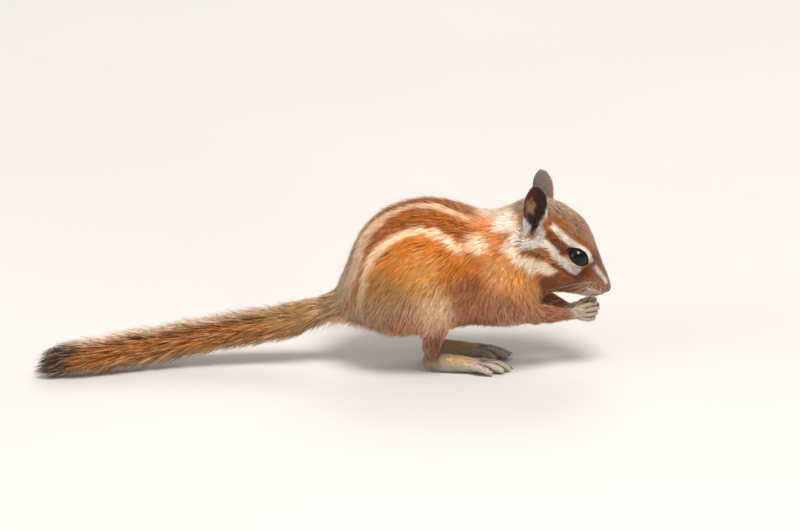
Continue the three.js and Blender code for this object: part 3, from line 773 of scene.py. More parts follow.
EAR_PATCH = srgb(150, 110, 82)
EAR_RUFOUS = srgb(84, 44, 24)
EAR_RIM = srgb(196, 172, 152)
EAR_BACK = srgb(124, 111, 102)
EAR_BACK_FRONT = srgb(150, 118, 84)
EAR_NOTCH = srgb(200, 190, 184)
SHANK_TINT = srgb(150, 90, 66)
FOOT_TINT = srgb(188, 174, 160)
FOOT_OCHRE = srgb(204, 170, 126)
HEEL_TINT = srgb(150, 122, 100)
PAW_TINT = srgb(188, 168, 146)
FOREARM_TINT = srgb(180, 112, 78)
TAIL_SKIN = srgb(140, 92, 48)
LID_DARK = srgb(22, 15, 13)
# painted shade along the crease of the mouth
MOUTH_SHADE = srgb(110, 60, 48)
WHISKER_PAD = [(93.7, 4.6, 32.7), (95.7, 4.4, 31.8), (97, 3.8, 30.8)]
PAD_BUFF = srgb(190, 134, 70)
PAD_DARK = srgb(84, 54, 40)
MOUTH_LINE = [(98.3, 0.3, 27.6), (96.4, 2.2, 26.8), (93.6, 3.8, 26.9), (91.2, 4.8, 27.8)]
# painted shade in the gaps between the toes and between the fingers
DIGIT_GAP_SHADE = srgb(84, 66, 56)
TOE_LINES, FINGER_LINES = (
    [[knuckle for knuckle, _ in digit_line(digit, side)] for side in (-1, 1) for digit in range(digits)]
    for digit_line, digits in ((toe_line, 5), (finger_line, 4)))


def wavy(points, size, seed):
    """A smooth irregular field from -1 to 1 that repeats about every `size` mm."""
    rng = np.random.default_rng(seed)
    total = np.zeros(len(points))
    for _ in range(6):
        way = unit(rng.normal(size=3)) * 2 * math.pi / (size * rng.uniform(0.7, 1.5))
        total += np.sin(points @ way + rng.uniform(0, 6.3))
    return total / 3.0


def from_line(points, line):
    """Distance to a bent line."""
    line = np.array(line, float)
    best = np.full(len(points), 1e9)
    for a, b in zip(line[:-1], line[1:]):
        along = np.clip(((points - a) @ (b - a)) / ((b - a) @ (b - a)), 0, 1)
        best = np.minimum(best, np.linalg.norm(points - a - along[:, None] * (b - a), axis=1))
    return best


def angle_round(points):
    """Degrees down each side from the middle of the back, round a line inside the trunk."""
    folded, _ = on_one_side(points)
    rise = points[:, 2] - np.interp(points[:, 0], SPINE_X, SPINE_Z)
    return np.degrees(np.arctan2(folded[:, 1] * SIDE_STRETCH, rise))


def mixed(under, over, share):
    """Colours laid over others, or over a single one, by a share for each place."""
    return under + (over - under) * share[:, None]


def markings_and_painted_light(points, normals, share):
    """The coat's colour at each place, painted shade and highlight included, and how many hairs there
    have pale or dark tips.
    """
    x, z = points[:, 0], points[:, 2]
    folded, side = on_one_side(points)
    angle = angle_round(points) + 0.9 * wavy(points, 2.6, 11)
    colour = spread(BODY_TINTS, folded, TINT_POWER)
    edges = [np.interp(x, STRIPE_X, row) for row in STRIPE_EDGES]
    shown = step(7, 17, x + 0.12 * (z - 30)) * (1 - step(54, 60, x))

    def band(low, high, soft=2.2):
        return step(low - soft, low + soft, angle) * (1 - step(high - soft, high + soft, angle)) * shown

    # Stripes along the back, the pale patches behind the shoulder and the ear.
    colour = mixed(colour, BACK_RUFOUS, band(-60, edges[0]) * (0.15 + 0.75 * step(14, 30, x)))
    colour = mixed(colour, PALE_STRIPE, band(edges[0], edges[1]) * (1 - 0.85 * step(46, 54, x)))
    colour = mixed(colour, RUFOUS_STRIPE, band(edges[1], edges[2]) * (1 - 0.4 * step(18, 8, x)))
    white = band(edges[2], edges[3], 1.8) * (1 - step(49.5, 53, x))
    colour = mixed(colour, WHITE_STRIPE, white * (0.45 + 0.55 * step(12, 22, x)))
    colour = mixed(colour, OUTER_RUFOUS, band(edges[3], edges[4], 3.0) * 0.8 * step(15, 26, x))
    patch = (folded - SHOULDER_PATCH) / SHOULDER_PATCH_SIZE
    colour = mixed(colour, WHITE_STRIPE, 0.95 * (1 - step(0.6, 1.25, np.linalg.norm(patch, axis=1))))
    local = to_head(points)
    local_folded, _ = on_one_side(local)
    neck = 1 - step(1.7, 3.6, from_line(local_folded, NECK_PATCH) + 0.4 * wavy(points, 3, 5))
    colour = mixed(colour, NECK_WHITE, 0.95 * neck)

    # Face.
    is_head, ear = share[:, GROUP["head"]], share[:, GROUP["ear"]]
    colour = mixed(colour, spread(HEAD_TINTS, local_folded, TINT_POWER), is_head)
    for tint, half, soft, line in FACE_LINES:
        away = from_line(local_folded, line) + 0.18 * wavy(points, 1.4, 3)
        colour = mixed(colour, tint, (1 - step(half - soft / 2, half + soft, away)) * (1 - ear))
    pad_spots = np.sin(local_folded[:, 2] * 5.2) * np.sin(local_folded[:, 0] * 4.4 + 0.8)
    on_pad = 1 - step(0.9, 1.9, from_line(local_folded, WHISKER_PAD))
    colour = mixed(colour, PAD_BUFF, 0.8 * on_pad * step(0.1, 0.6, pad_spots))
    colour = mixed(colour, PAD_DARK, 0.7 * on_pad * step(0.2, 0.7, -pad_spots))
    # Painted shade along the crease of the mouth.
    mouth = from_line(local_folded, MOUTH_LINE)
    colour = mixed(colour, MOUTH_SHADE, 0.75 * (1 - step(0.25, 0.8, mouth)) * is_head)

    # Ears: dark inside with a paler blotch, white at the notch, grey behind, pale at the rim.
    forward, sideways = EAR_FACES
    ear_faces = np.stack([np.full(len(x), forward), sideways * side, np.zeros(len(x))], 1)
    inward = (normals * unit(from_head(ear_faces, place=False))).sum(1)
    ear_x, ear_z = local_folded[:, 0], local_folded[:, 2] + 0.4 * wavy(points, 2.2, 21)
    inner = mixed(EAR_DARK, EAR_RUFOUS, step(76.5, 71.5, ear_x) * step(56, 61, ear_z) * 0.8)
    blotch = np.hypot((ear_x - 73.2) / 1.6, (ear_z - 59.8) / 3.2) + 0.3 * wavy(points, 2.0, 22)
    inner = mixed(inner, EAR_PATCH, 1 - step(0.5, 1.2, blotch))
    hollow = np.interp(ear_z, [49, 52.8, 54.5, 57, 60], [0.5, 1.2, 2.1, 3.4, 4.4])
    off = abs(ear_x - np.interp(ear_z, [49.5, 52.8, 57], [73.5, 74.5, 74.3])) - hollow
    inner = mixed(inner, EAR_NOTCH, step(-0.25, 0.35, off) * 0.95)
    back = mixed(EAR_BACK, EAR_BACK_FRONT, step(75.5, 78.5, local[:, 0]))
    ear_tint = mixed(back, inner, step(0.12, 0.42, inward))
    rim = mixed(EAR_RIM, EAR_NOTCH, 1 - step(50.5, 53, ear_z))
    ear_tint = mixed(ear_tint, rim, (1 - step(0.16, 0.34, abs(inward))) * 0.9)
    ear_tint = mixed(ear_tint, EAR_NOTCH, (1 - step(48.2, 50, ear_z)) * 0.8)
    colour = mixed(colour, ear_tint, ear)

    # Legs, feet and paws, with painted shade in the gaps between the digits, and the tail's skin.
    foot_tint = mixed(FOOT_TINT, FOOT_OCHRE, step(40, 43, x) * (1 - step(50, 54, x)) * step(3.0, 5.0, z))
    foot_tint = mixed(foot_tint, HEEL_TINT, (1 - step(38, 43.5, x + 0.5 * (5 - z))) * 0.85)
    colour = mixed(colour, SHANK_TINT, share[:, GROUP["shank"]] * 0.8)
    colour = mixed(colour, foot_tint, share[:, GROUP["foot"]])
    colour = mixed(colour, FOREARM_TINT, share[:, GROUP["forearm"]] * 0.7)
    colour = mixed(colour, PAW_TINT, share[:, GROUP["paw"]])
    for part, lines, reach in (("paw", FINGER_LINES, 0.55), ("foot", TOE_LINES, 0.8)):
        away = np.sort([from_line(points, line) for line in lines], axis=0)
        ahead_of = step(0, 1.5, x - min(line[0][0] for line in lines) - 0.5)
        shade_between_digits = 1 - step(0.2, reach, away[1] - away[0])
        colour = mixed(colour, DIGIT_GAP_SHADE, share[:, GROUP[part]] * shade_between_digits * ahead_of * 0.85)
    colour = mixed(colour, TAIL_SKIN, share[:, GROUP["tail"]])

    # How many hairs are tipped pale or dark.
    haunch = step(78, 100, angle) * (1 - step(44, 52, x)) * (1 - is_head)
    low_side = step(70, 100, angle) * step(44, 52, x) * (1 - is_head)
    crown = is_head * step(0.2, 0.7, normals[:, 2]) * (1 - step(4.5, 7, local_folded[:, 1]))
    pale = 0.12 + 0.42 * haunch + 0.3 * (1 - step(16, 30, x)) * (angle < 60) + 0.2 * low_side
    pale = pale + 0.3 * crown + 0.3 * band(edges[0], edges[1])
    dark = 0.06 + 0.14 * haunch + 0.08 * low_side + 0.28 * crown + 0.1 * shown * (angle < 60)
    dark = dark + 0.2 * ear
    arm_low = step(54, 60, x) * (1 - step(26, 36, z)) * (1 - is_head)
    short = share[:, [GROUP["foot"], GROUP["paw"]]].sum(1)
    pale = (pale + 0.4 * arm_low) * (1 - 0.6 * short) * (1 - 0.85 * ear)
    dark = dark * (1 - 0.7 * white) * (1 - 0.9 * short)
    return colour, pale, dark


skin_colour, _, _ = markings_and_painted_light(outer, outer_normal, belongs)
for eye in range(2):
    ahead, aside, edge, corner = eye_places(places, eye)
    rim = (1 - step(0.22, 0.42, aside - edge - corner)) * (ahead > 0) * (aside < EYE_REACH)
    skin_colour = mixed(skin_colour, LID_DARK, rim)

# Its UV map: the hide unwrapped in patches of its own shape.
bpy.context.view_layer.objects.active = skin
skin.select_set(True)
hide.uv_layers.new(name="OFBake")
bpy.ops.object.mode_set(mode="EDIT")
bpy.ops.mesh.select_all(action="SELECT")
bpy.ops.uv.smart_project(angle_limit=math.radians(66), island_margin=0.002)
bpy.ops.object.mode_set(mode="OBJECT")


def paint_vertices(mesh, colours):
    """Smooth shading, and a colour for every vertex, read by the materials as `coat`."""
    layer = mesh.color_attributes.new(name="coat", type="FLOAT_COLOR", domain="POINT")
    rgba = np.ones((len(colours), 4), np.float32)
    rgba[:, :3] = colours
    layer.data.foreach_set("color", rgba.ravel())
    mesh.polygons.foreach_set("use_smooth", np.ones(len(mesh.polygons), bool))


def strand_tone():
    """Shader group: the coat's colour with fine streaks and soft patches of light and dark."""
    group = bpy.data.node_groups.new("strand_tone", "ShaderNodeTree")
    group.interface.new_socket("Color", in_out="INPUT", socket_type="NodeSocketColor")
    for name in ("Amount", "Scale"):
        group.interface.new_socket(name, in_out="INPUT", socket_type="NodeSocketFloat")
    group.interface.new_socket("Color", in_out="OUTPUT", socket_type="NodeSocketColor")
    group.interface.new_socket("Grain", in_out="OUTPUT", socket_type="NodeSocketFloat")
    nodes, links = group.nodes, group.links
    given = nodes.new("NodeGroupInput")
    result = nodes.new("NodeGroupOutput")
    place = nodes.new("ShaderNodeTexCoord")
    noise = nodes.new("ShaderNodeTexNoise")
    noise.inputs["Detail"].default_value = 4
    swing = nodes.new("ShaderNodeMapRange")
    swing.inputs["From Min"].default_value = 0.3
    swing.inputs["From Max"].default_value = 0.7
    swing.inputs["To Min"].default_value = -1
    gain = nodes.new("ShaderNodeMath")
    gain.operation = "MULTIPLY_ADD"
    gain.inputs[2].default_value = 1.0
    shade = nodes.new("ShaderNodeVectorMath")
    shade.operation = "SCALE"
    wire(
        links,
        (place, "Object", noise, "Vector"),
        (given, "Scale", noise, "Scale"),
        (noise, "Fac", swing, "Value"),
        (swing, "Result", gain, 0),
        (given, "Amount", gain, 1),
        (given, "Color", shade, 0),
        (gain, "Value", shade, "Scale"),
        (shade, "Vector", result, "Color"),
        (noise, "Fac", result, "Grain"),
    )
    return group


tone_group = strand_tone()


def coat_material(name, roughness, amount, scale, bump=0.0):
    """Reads the markings painted on the mesh, breaks them up, and adds short-hair relief."""
    made, nodes, links, shader = material(name, roughness, 0.25)
    painted = nodes.new("ShaderNodeAttribute")
    painted.attribute_name = "coat"
    tone = nodes.new("ShaderNodeGroup")
    tone.node_tree = tone_group
    tone.inputs["Amount"].default_value = amount
    tone.inputs["Scale"].default_value = scale
    wire(links, (painted, "Color", tone, "Color"), (tone, "Color", shader, "Base Color"))
    if bump:
        relief = nodes.new("ShaderNodeBump")
        relief.inputs["Strength"].default_value = bump
        relief.inputs["Distance"].default_value = 0.15 * MM
        wire(links, (tone, "Grain", relief, "Height"), (relief, "Normal", shader, "Normal"))
    return made


paint_vertices(hide, skin_colour)
hide.materials.clear()
hide.materials.append(coat_material("short_coat", 0.7, 0.22, 1800, 0.6))
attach(skin, "root")
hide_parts(*flesh_nodes)

# ---- eyes ----
# Two glossy, nearly black balls set under the lids, dark brown with a black pupil. Each is
# turned so that its pupil faces out through the opening.
EYE_RINGS, EYE_SPOKES = 24, 40
PUPIL_BLACK = srgb(8, 6, 6)
EYE_BROWN = srgb(26, 16, 12)
eye_paint, nodes, links, shader = material("eye_gloss", 0.14, 0.3)
painted = nodes.new("ShaderNodeAttribute")
painted.attribute_name = "coat"
wire(links, (painted, "Color", shader, "Base Color"))
for eye, side in enumerate(SIDES):
    points, colours = [], []
    for ring in range(1, EYE_RINGS):
        polar = math.pi * ring / EYE_RINGS
        for spoke in range(EYE_SPOKES):
            turn = 2 * math.pi * spoke / EYE_SPOKES
            flat = math.cos(turn) * eye_longs[eye] + math.sin(turn) * eye_crosses[eye]
            outward = math.cos(polar) * eye_axes[eye] + math.sin(polar) * flat
            points.append(eye_centres[eye] + eye_radius * outward)
            colours.append(PUPIL_BLACK + (EYE_BROWN - PUPIL_BLACK) * step(0.55, 0.75, polar))
    front, back = len(points), len(points) + 1
    points += [eye_centres[eye] + pole * eye_radius * eye_axes[eye] for pole in (1, -1)]
    colours += [PUPIL_BLACK, EYE_BROWN]
    faces = []
    last = (EYE_RINGS - 2) * EYE_SPOKES
    for spoke in range(EYE_SPOKES):
        after = (spoke + 1) % EYE_SPOKES
        faces.append((front, spoke, after))
        faces.append((back, last + after, last + spoke))
        for ring in range(EYE_RINGS - 2):
            a = ring * EYE_SPOKES
            faces.append((a + spoke, a + EYE_SPOKES + spoke, a + EYE_SPOKES + after, a + after))
    mesh = bpy.data.meshes.new(side + "eyeball")
    mesh.from_pydata((np.array(points) * MM).tolist(), [], faces)
    bm = bmesh.new()
    bm.from_mesh(mesh)
    bmesh.ops.recalc_face_normals(bm, faces=bm.faces)
    bm.to_mesh(mesh)
    bm.free()
    paint_vertices(mesh, np.array(colours))
    mesh.materials.append(eye_paint)
    ball = placed(side + "eyeball", mesh)
    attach(ball, "root")
    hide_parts(side + "eye")

# ---- nose ----
# The bare pad at the tip of the snout, with a nostril on each side and a groove between,
# shaped from a fine ball the size of the nose solid and set back a little into the muzzle.
NOSE_SKIN = srgb(120, 96, 88)
# painted shade in the nostrils
NOSTRIL_SHADE = srgb(40, 24, 22)
NOSE_SET_BACK = 0.6
nose_low, nose_high = (np.array(corner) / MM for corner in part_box("nose"))
nose_half = (nose_high - nose_low) / 2
bm = bmesh.new()
bmesh.ops.create_icosphere(bm, subdivisions=5, radius=1)
nose_ball = np.array([v.co for v in bm.verts])
nose_radius = np.ones(len(nose_ball))
for nostril_side in (-1, 1):
    nostril = unit(np.array([0.62, nostril_side * 0.72, 0.05]))
    off = nose_ball - nostril
    away = np.sqrt((off[:, 0] * 1.2 + off[:, 2] * 0.5) ** 2 + off[:, 1] ** 2 + (off[:, 2] * 2.0) ** 2)
    nose_radius -= 0.34 * np.exp(-(away / 0.26) ** 4)
    nose_radius += 0.07 * np.exp(-((away - 0.42) / 0.14) ** 2)
groove = np.exp(-(nose_ball[:, 1] / 0.07) ** 2) * step(0.1, 0.6, nose_ball[:, 0])
nose_radius -= 0.12 * groove * step(0.35, -0.2, nose_ball[:, 2])
bare = step(-0.15, 0.4, nose_ball @ unit(np.array([0.85, 0, -0.3])))
nose_radius *= 0.8 + 0.18 * bare
nose_points = from_head(nose_ball * nose_radius[:, None] * nose_half, place=False)
nose_points += nose_middle - np.array([NOSE_SET_BACK, 0, 0])
for vertex, point in zip(bm.verts, nose_points):
    vertex.co = point * MM
mesh = bpy.data.meshes.new("nose_pad")
bm.to_mesh(mesh)
bm.free()
# The nostrils darken where they sink in: painted shade.
nose_tint = mixed(NOSE_SKIN, NOSTRIL_SHADE, step(0.92, 0.72, nose_radius))
paint_vertices(mesh, nose_tint)
mesh.materials.append(coat_material("nose_skin", 0.45, 0.15, 5200, 0.5))
nose = placed("nose_pad", mesh)
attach(nose, "root")
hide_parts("nose")

# ---- coat ----
# Fur in fine tapered tufts of hair, rooted in the skin and laid over it the way the coat
# lies, so that their tips reach the body's outline. Each tuft is a closed three-sided sliver
# bent along the surface; neighbours draw together into locks.
hide.calc_loop_triangles()
tri = pulled(hide.loop_triangles, "vertices", 3, int)
tri_uv = pulled(hide.uv_layers["OFBake"].data, "uv", 2)[pulled(hide.loop_triangles, "loops", 3, int)]
corner = places[tri]
tri_area = np.linalg.norm(np.cross(corner[:, 1] - corner[:, 0], corner[:, 2] - corner[:, 0]), axis=1) / 2
tri_share = belongs[tri].mean(1)
tri_outer = outer[tri].mean(1)
skin_tree = tree_of(places)
PATCH = 0.003  # width on the UV map of the patch that one tuft gets, at its root's place


def rooted(weight, count, rng):
    """Seeded roots over the skin's triangles, as many to each as its weight asks."""
    total = np.cumsum(weight)
    pick = (np.arange(count) + rng.random(count)) / count * total[-1]
    face = np.searchsorted(total, pick)
    u, v = np.sqrt(rng.random(count)), rng.random(count)
    return face, np.stack([1 - u, u * (1 - v), u * v], 1)


def carried(values, face, corners):
    return (values[tri[face]] * corners[:, :, None]).sum(1)


def onto_skin(points):
    """Points dropped onto the skin, with the skin vertex nearest to each."""
    at = nearest(skin_tree, points)
    return points - skin_normal[at] * (((points - places[at]) * skin_normal[at]).sum(1))[:, None], at


def laid(root, way, length, low, high):
    """A hair's middle and tip, bent to follow the skin at two heights above it."""
    mid, at = onto_skin(root + way * (length * 0.5)[:, None])
    onward = unit(way * 0.5 + lie[at] * 0.5)
    tip, end = onto_skin(mid + onward * (length * 0.5)[:, None])
    mid = mid + skin_normal[at] * (low * coat_depth[at])[:, None]
    tip = tip + skin_normal[end] * (high * coat_depth[end])[:, None]
    return mid, tip


def sliver_mesh(name, path, widths, up, colours, uv, paint):
    """Joined tufts: a ring of three points at each station of the path, closed to a tip."""
    count, rings = len(up), len(path) - 1
    per = rings * 3 + 1
    points = np.empty((count, per, 3), np.float32)
    tones = np.empty((count, per, 3), np.float32)
    maps = np.empty((count, per, 2), np.float32)
    for k in range(rings):
        ahead = unit(path[k + 1] - path[k])
        across = unit(np.cross(ahead, up))
        rise = np.cross(across, ahead)
        half = (widths[k] / 2)[:, None]
        for j, out in enumerate((-across, rise, across)):
            points[:, k * 3 + j] = path[k] + out * half
            tones[:, k * 3 + j] = colours[k]
            maps[:, k * 3 + j] = uv + PATCH * np.array([(j - 1) * 0.45, k / rings - 0.5])
    points[:, -1] = path[-1]
    tones[:, -1] = colours[-1]
    maps[:, -1] = uv + PATCH * np.array([0, 0.5])
    quads = [(k * 3 + j, k * 3 + (j + 1) % 3, k * 3 + 3 + (j + 1) % 3, k * 3 + 3 + j)
             for k in range(rings - 1) for j in range(3)]
    top = (rings - 1) * 3
    ends = [(top + j, top + (j + 1) % 3, per - 1) for j in range(3)] + [(0, 2, 1)]
    start = (np.arange(count) * per)[:, None]
    loops = np.concatenate([np.array(quads, int).ravel(), np.array(ends).ravel()])
    sizes = np.array([4] * len(quads) + [3] * len(ends))
    mesh = bpy.data.meshes.new(name)
    mesh.vertices.add(count * per)
    mesh.vertices.foreach_set("co", (points * MM).ravel())
    loop_vertex = (start + loops[None]).ravel()
    mesh.loops.add(len(loop_vertex))
    mesh.loops.foreach_set("vertex_index", loop_vertex)
    all_sizes = np.tile(sizes, count)
    mesh.polygons.add(len(all_sizes))
    mesh.polygons.foreach_set("loop_start", np.concatenate([[0], np.cumsum(all_sizes)[:-1]]))
    mesh.update(calc_edges=True)
    layer = mesh.uv_layers.new(name="OFBake")
    layer.data.foreach_set("uv", maps.reshape(-1, 2)[loop_vertex].ravel())
    paint_vertices(mesh, tones.reshape(-1, 3))
    mesh.materials.append(paint)
    made = placed(name, mesh)
    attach(made, "root")
    return made


fur = coat_material("fur", 0.62, 0.10, 900)
CREAM_TIP = srgb(244, 228, 204)
LOCK_SIZE = 7  # tufts drawn together
SELF_SHADE = 0.72  # deep fur shades itself, so its hairs are that much paler than it looks
HAIR_LENGTHS = 0.7, 1.2  # of the length that the lie gives
RUFFLE, WAVE = 0.12, 0.15  # how far hairs stray from the lie, each alone and all together
MID_HEIGHT, TIP_RISE, STRAY_RISE = (0.35, 0.7), (0.15, 0.65), (0.3, 0.8)  # of the coat's depth
LOCK_TONE, OWN_TONE = 0.16, 0.18  # how much lighter or darker than its place a lock and a hair are
TIP_LIGHT, DARK_TIP, DARK_MIDDLE = 1.15, 0.28, 0.55
VIVID, DULLEST = 1.08, 0.004
# Roots are darker: partly the greyer underfur, partly painted shade deep in the coat.
ROOT_UNDERFUR_AND_SHADE, ROOT_DARK_DEPTH = 0.46, 1.6  # how dark roots are, in full where the coat is this deep
HAIR_FLOOR = 0.1  # no hair comes nearer to the floor
LID_CLEAR, ROOT_CLEAR = 0.12, 0.14  # what a hair and its root keep from the lid's rim


def leaders(keys, size, rng):
    """For each tuft, the one that its lock of about `size` tufts is drawn to."""
    locks = rng.choice(len(keys), len(keys) // size, replace=False)
    return locks[nearest(tree_of(keys[locks]), keys)]


def lit(colour, depth):
    """Hair colour raised for deep fur, and a little more vivid."""
    grey = colour.mean(1, keepdims=True)
    raised = 1 + SELF_SHADE * np.minimum(depth / 2, 1)
    return np.maximum(grey + (colour - grey) * VIVID, DULLEST) * raised[:, None]


def grow(name, weight, count, seed, width, pull=0.4, loose=0.05):
    """One piece of the coat: `count` tufts over the skin where weight says."""
    rng = np.random.default_rng(seed)
    face, corners = rooted(weight, count, rng)
    root = carried(places, face, corners)
    up = unit(carried(skin_normal, face, corners))
    way = carried(lie, face, corners)
    depth = carried(coat_depth[:, None], face, corners)[:, 0]
    length = carried(coat_length[:, None], face, corners)[:, 0] * rng.uniform(*HAIR_LENGTHS, count)
    share = carried(belongs, face, corners)
    surface = carried(outer, face, corners)
    facing = unit(carried(outer_normal, face, corners))
    uv = (tri_uv[face] * corners[:, :, None]).sum(1)
    swing = rng.normal(0, RUFFLE, count) + WAVE * wavy(surface, 4.5, seed + 1)
    way = unit(way * np.cos(swing)[:, None] + np.cross(up, way) * np.sin(swing)[:, None])
    stray = rng.random(count) < loose
    low = rng.uniform(*MID_HEIGHT, count)
    high = low + rng.uniform(*TIP_RISE, count) + stray * rng.uniform(*STRAY_RISE, count)
    mid, tip = laid(root, way, length * (1 + 0.2 * stray), low, high)
    # Hairs under the body hang, most of all under the rump.
    hang = 0.3 + 0.35 * (1 - step(22, 34, root[:, 0]))
    tip[:, 2] -= hang * length * np.maximum(-up[:, 2], 0) * rng.random(count) ** 1.5
    leader = leaders(root, LOCK_SIZE, rng)
    drawn = np.where(stray, 0.1, pull) * rng.uniform(0.5, 1.3, count)
    tip = tip + (tip[leader] - tip) * drawn[:, None]
    mid = mid + (mid[leader] - mid) * (drawn * 0.4)[:, None]
    tip[:, 2] = np.maximum(tip[:, 2], HAIR_FLOOR)
    mid[:, 2] = np.maximum(mid[:, 2], HAIR_FLOOR)

    colour, pale, dark = markings_and_painted_light(surface, facing, share)
    uneven = 0.4 + 0.6 * np.minimum(depth / 1.2, 1)
    lock_tone = rng.uniform(-LOCK_TONE, LOCK_TONE, count)[leader]
    own_tone = rng.uniform(-OWN_TONE, OWN_TONE, count)
    colour = lit(colour, depth) * ((1 + lock_tone * uneven) * (1 + own_tone * uneven))[:, None]
    chance = rng.random(count)
    pale_tip, dark_tip = chance < pale, chance > 1 - dark
    cream = colour * 0.3 + lit(CREAM_TIP[None], depth) * 0.6
    tip_colour = np.where(pale_tip[:, None], cream, colour * TIP_LIGHT)
    tip_colour = np.where(dark_tip[:, None], colour * DARK_TIP, tip_colour)
    mid_colour = np.where(dark_tip[:, None], colour * DARK_MIDDLE, colour)
    # Darker roots: underfur and painted shade, more where the coat is deep.
    root_colour = colour * (1 - ROOT_UNDERFUR_AND_SHADE * np.minimum(depth / ROOT_DARK_DEPTH, 1))[:, None]

    # No hair crosses the opening of an eye.
    keep = np.ones(count, bool)
    for eye in range(2):
        for points in (root, mid, tip, (mid + tip) / 2):
            clear = ROOT_CLEAR if points is root else LID_CLEAR
            ahead, aside, edge, corner = eye_places(points, eye)
            keep &= (aside > edge + corner + clear) | (ahead < 0) | (aside > EYE_REACH)
    root, mid, tip, up = root[keep], mid[keep], tip[keep], up[keep]
    wide = (width * rng.uniform(0.75, 1.25, count) * np.where(stray, 0.6, 1))[keep]
    to_eye = np.linalg.norm(root[:, None] - eye_centres[None], axis=2).min(1)
    path = [root - up * (0.02 + 0.13 * step(4.6, 6.5, to_eye))[:, None], mid, tip]
    colours = [root_colour[keep], mid_colour[keep], tip_colour[keep]]
    sliver_mesh(name, path, [wide, wide * 0.8], up, colours, uv[keep], fur)


def over(*names):
    """Skin triangles of these groups, by area."""
    return tri_area * sum(tri_share[:, GROUP[name]] for name in names)


tri_head = to_head(tri_outer)
face_part = step(84, 88, tri_head[:, 0] + 0.25 * (38 - tri_head[:, 2]))
neck_part = step(55, 58, tri_outer[:, 0])
front_part = step(47, 50, tri_outer[:, 0])
back_part = 1 - step(70, 76, angle_round(tri_outer))
# The coat is densest round the eyes, and ends at the lids.
eye_rim = np.ones(len(tri))
for eye in range(2):
    ahead, aside, edge, corner = eye_places(places[tri].mean(1), eye)
    past = np.where(ahead > 0, aside - edge - corner, 9)
    eye_rim = eye_rim * (1 + 2 * (1 - step(0.3, 1.6, past))) * (past > 0.05)
grow("coat_face", over("head") * face_part * eye_rim, 19000, 101, 0.15, 0.15, loose=0.02)
grow("coat_crown_and_cheeks", over("head") * (1 - face_part) * eye_rim, 17500, 102, 0.19, 0.3, loose=0.03)
grow("coat_neck", over("trunk") * neck_part, 12500, 103, 0.24)
grow("coat_shoulders", over("arm") + over("trunk") * (1 - neck_part) * front_part, 16500, 104, 0.25, 0.5)
grow("coat_back", over("trunk") * (1 - front_part) * back_part, 17000, 105, 0.24, 0.35)
grow("coat_rump_and_belly", over("trunk") * (1 - front_part) * (1 - back_part), 12500, 106, 0.26, 0.5)
grow("coat_haunches", over("thigh"), 14000, 107, 0.26, 0.5)
legs = over("shank", "forearm") + 0.8 * over("foot", "paw")
grow("coat_legs", legs, 11200, 108, 0.15, 0.2)
grow("coat_ears", over("ear"), 3200, 109, 0.11, 0.1)

# ---- tail brush ----
# Long hairs all round the thin tail, swept back along it so that their tips make the brush.
# They are rufous, some with a dark band, paler and darker along the top, grey-buff at the
# rump and black at the very end.
BRUSH_X = [-92, -80, -40, -10, 8]
BRUSH_LENGTH = [10, 13.5, 13.5, 11, 8.5]
TAIL_RUFOUS = srgb(182, 113, 42)
TAIL_DARK = srgb(70, 46, 32)
TAIL_PALE = srgb(212, 192, 168)
TAIL_BLACK = srgb(52, 45, 44)
TAIL_BUFF = srgb(176, 134, 92)
TAIL_ROOT = srgb(180, 141, 94)
RUMP_GREY = srgb(164, 136, 108)
BRUSH_LOCK = 8
BRUSH_LIGHT = 1.35  # a brush shades itself too


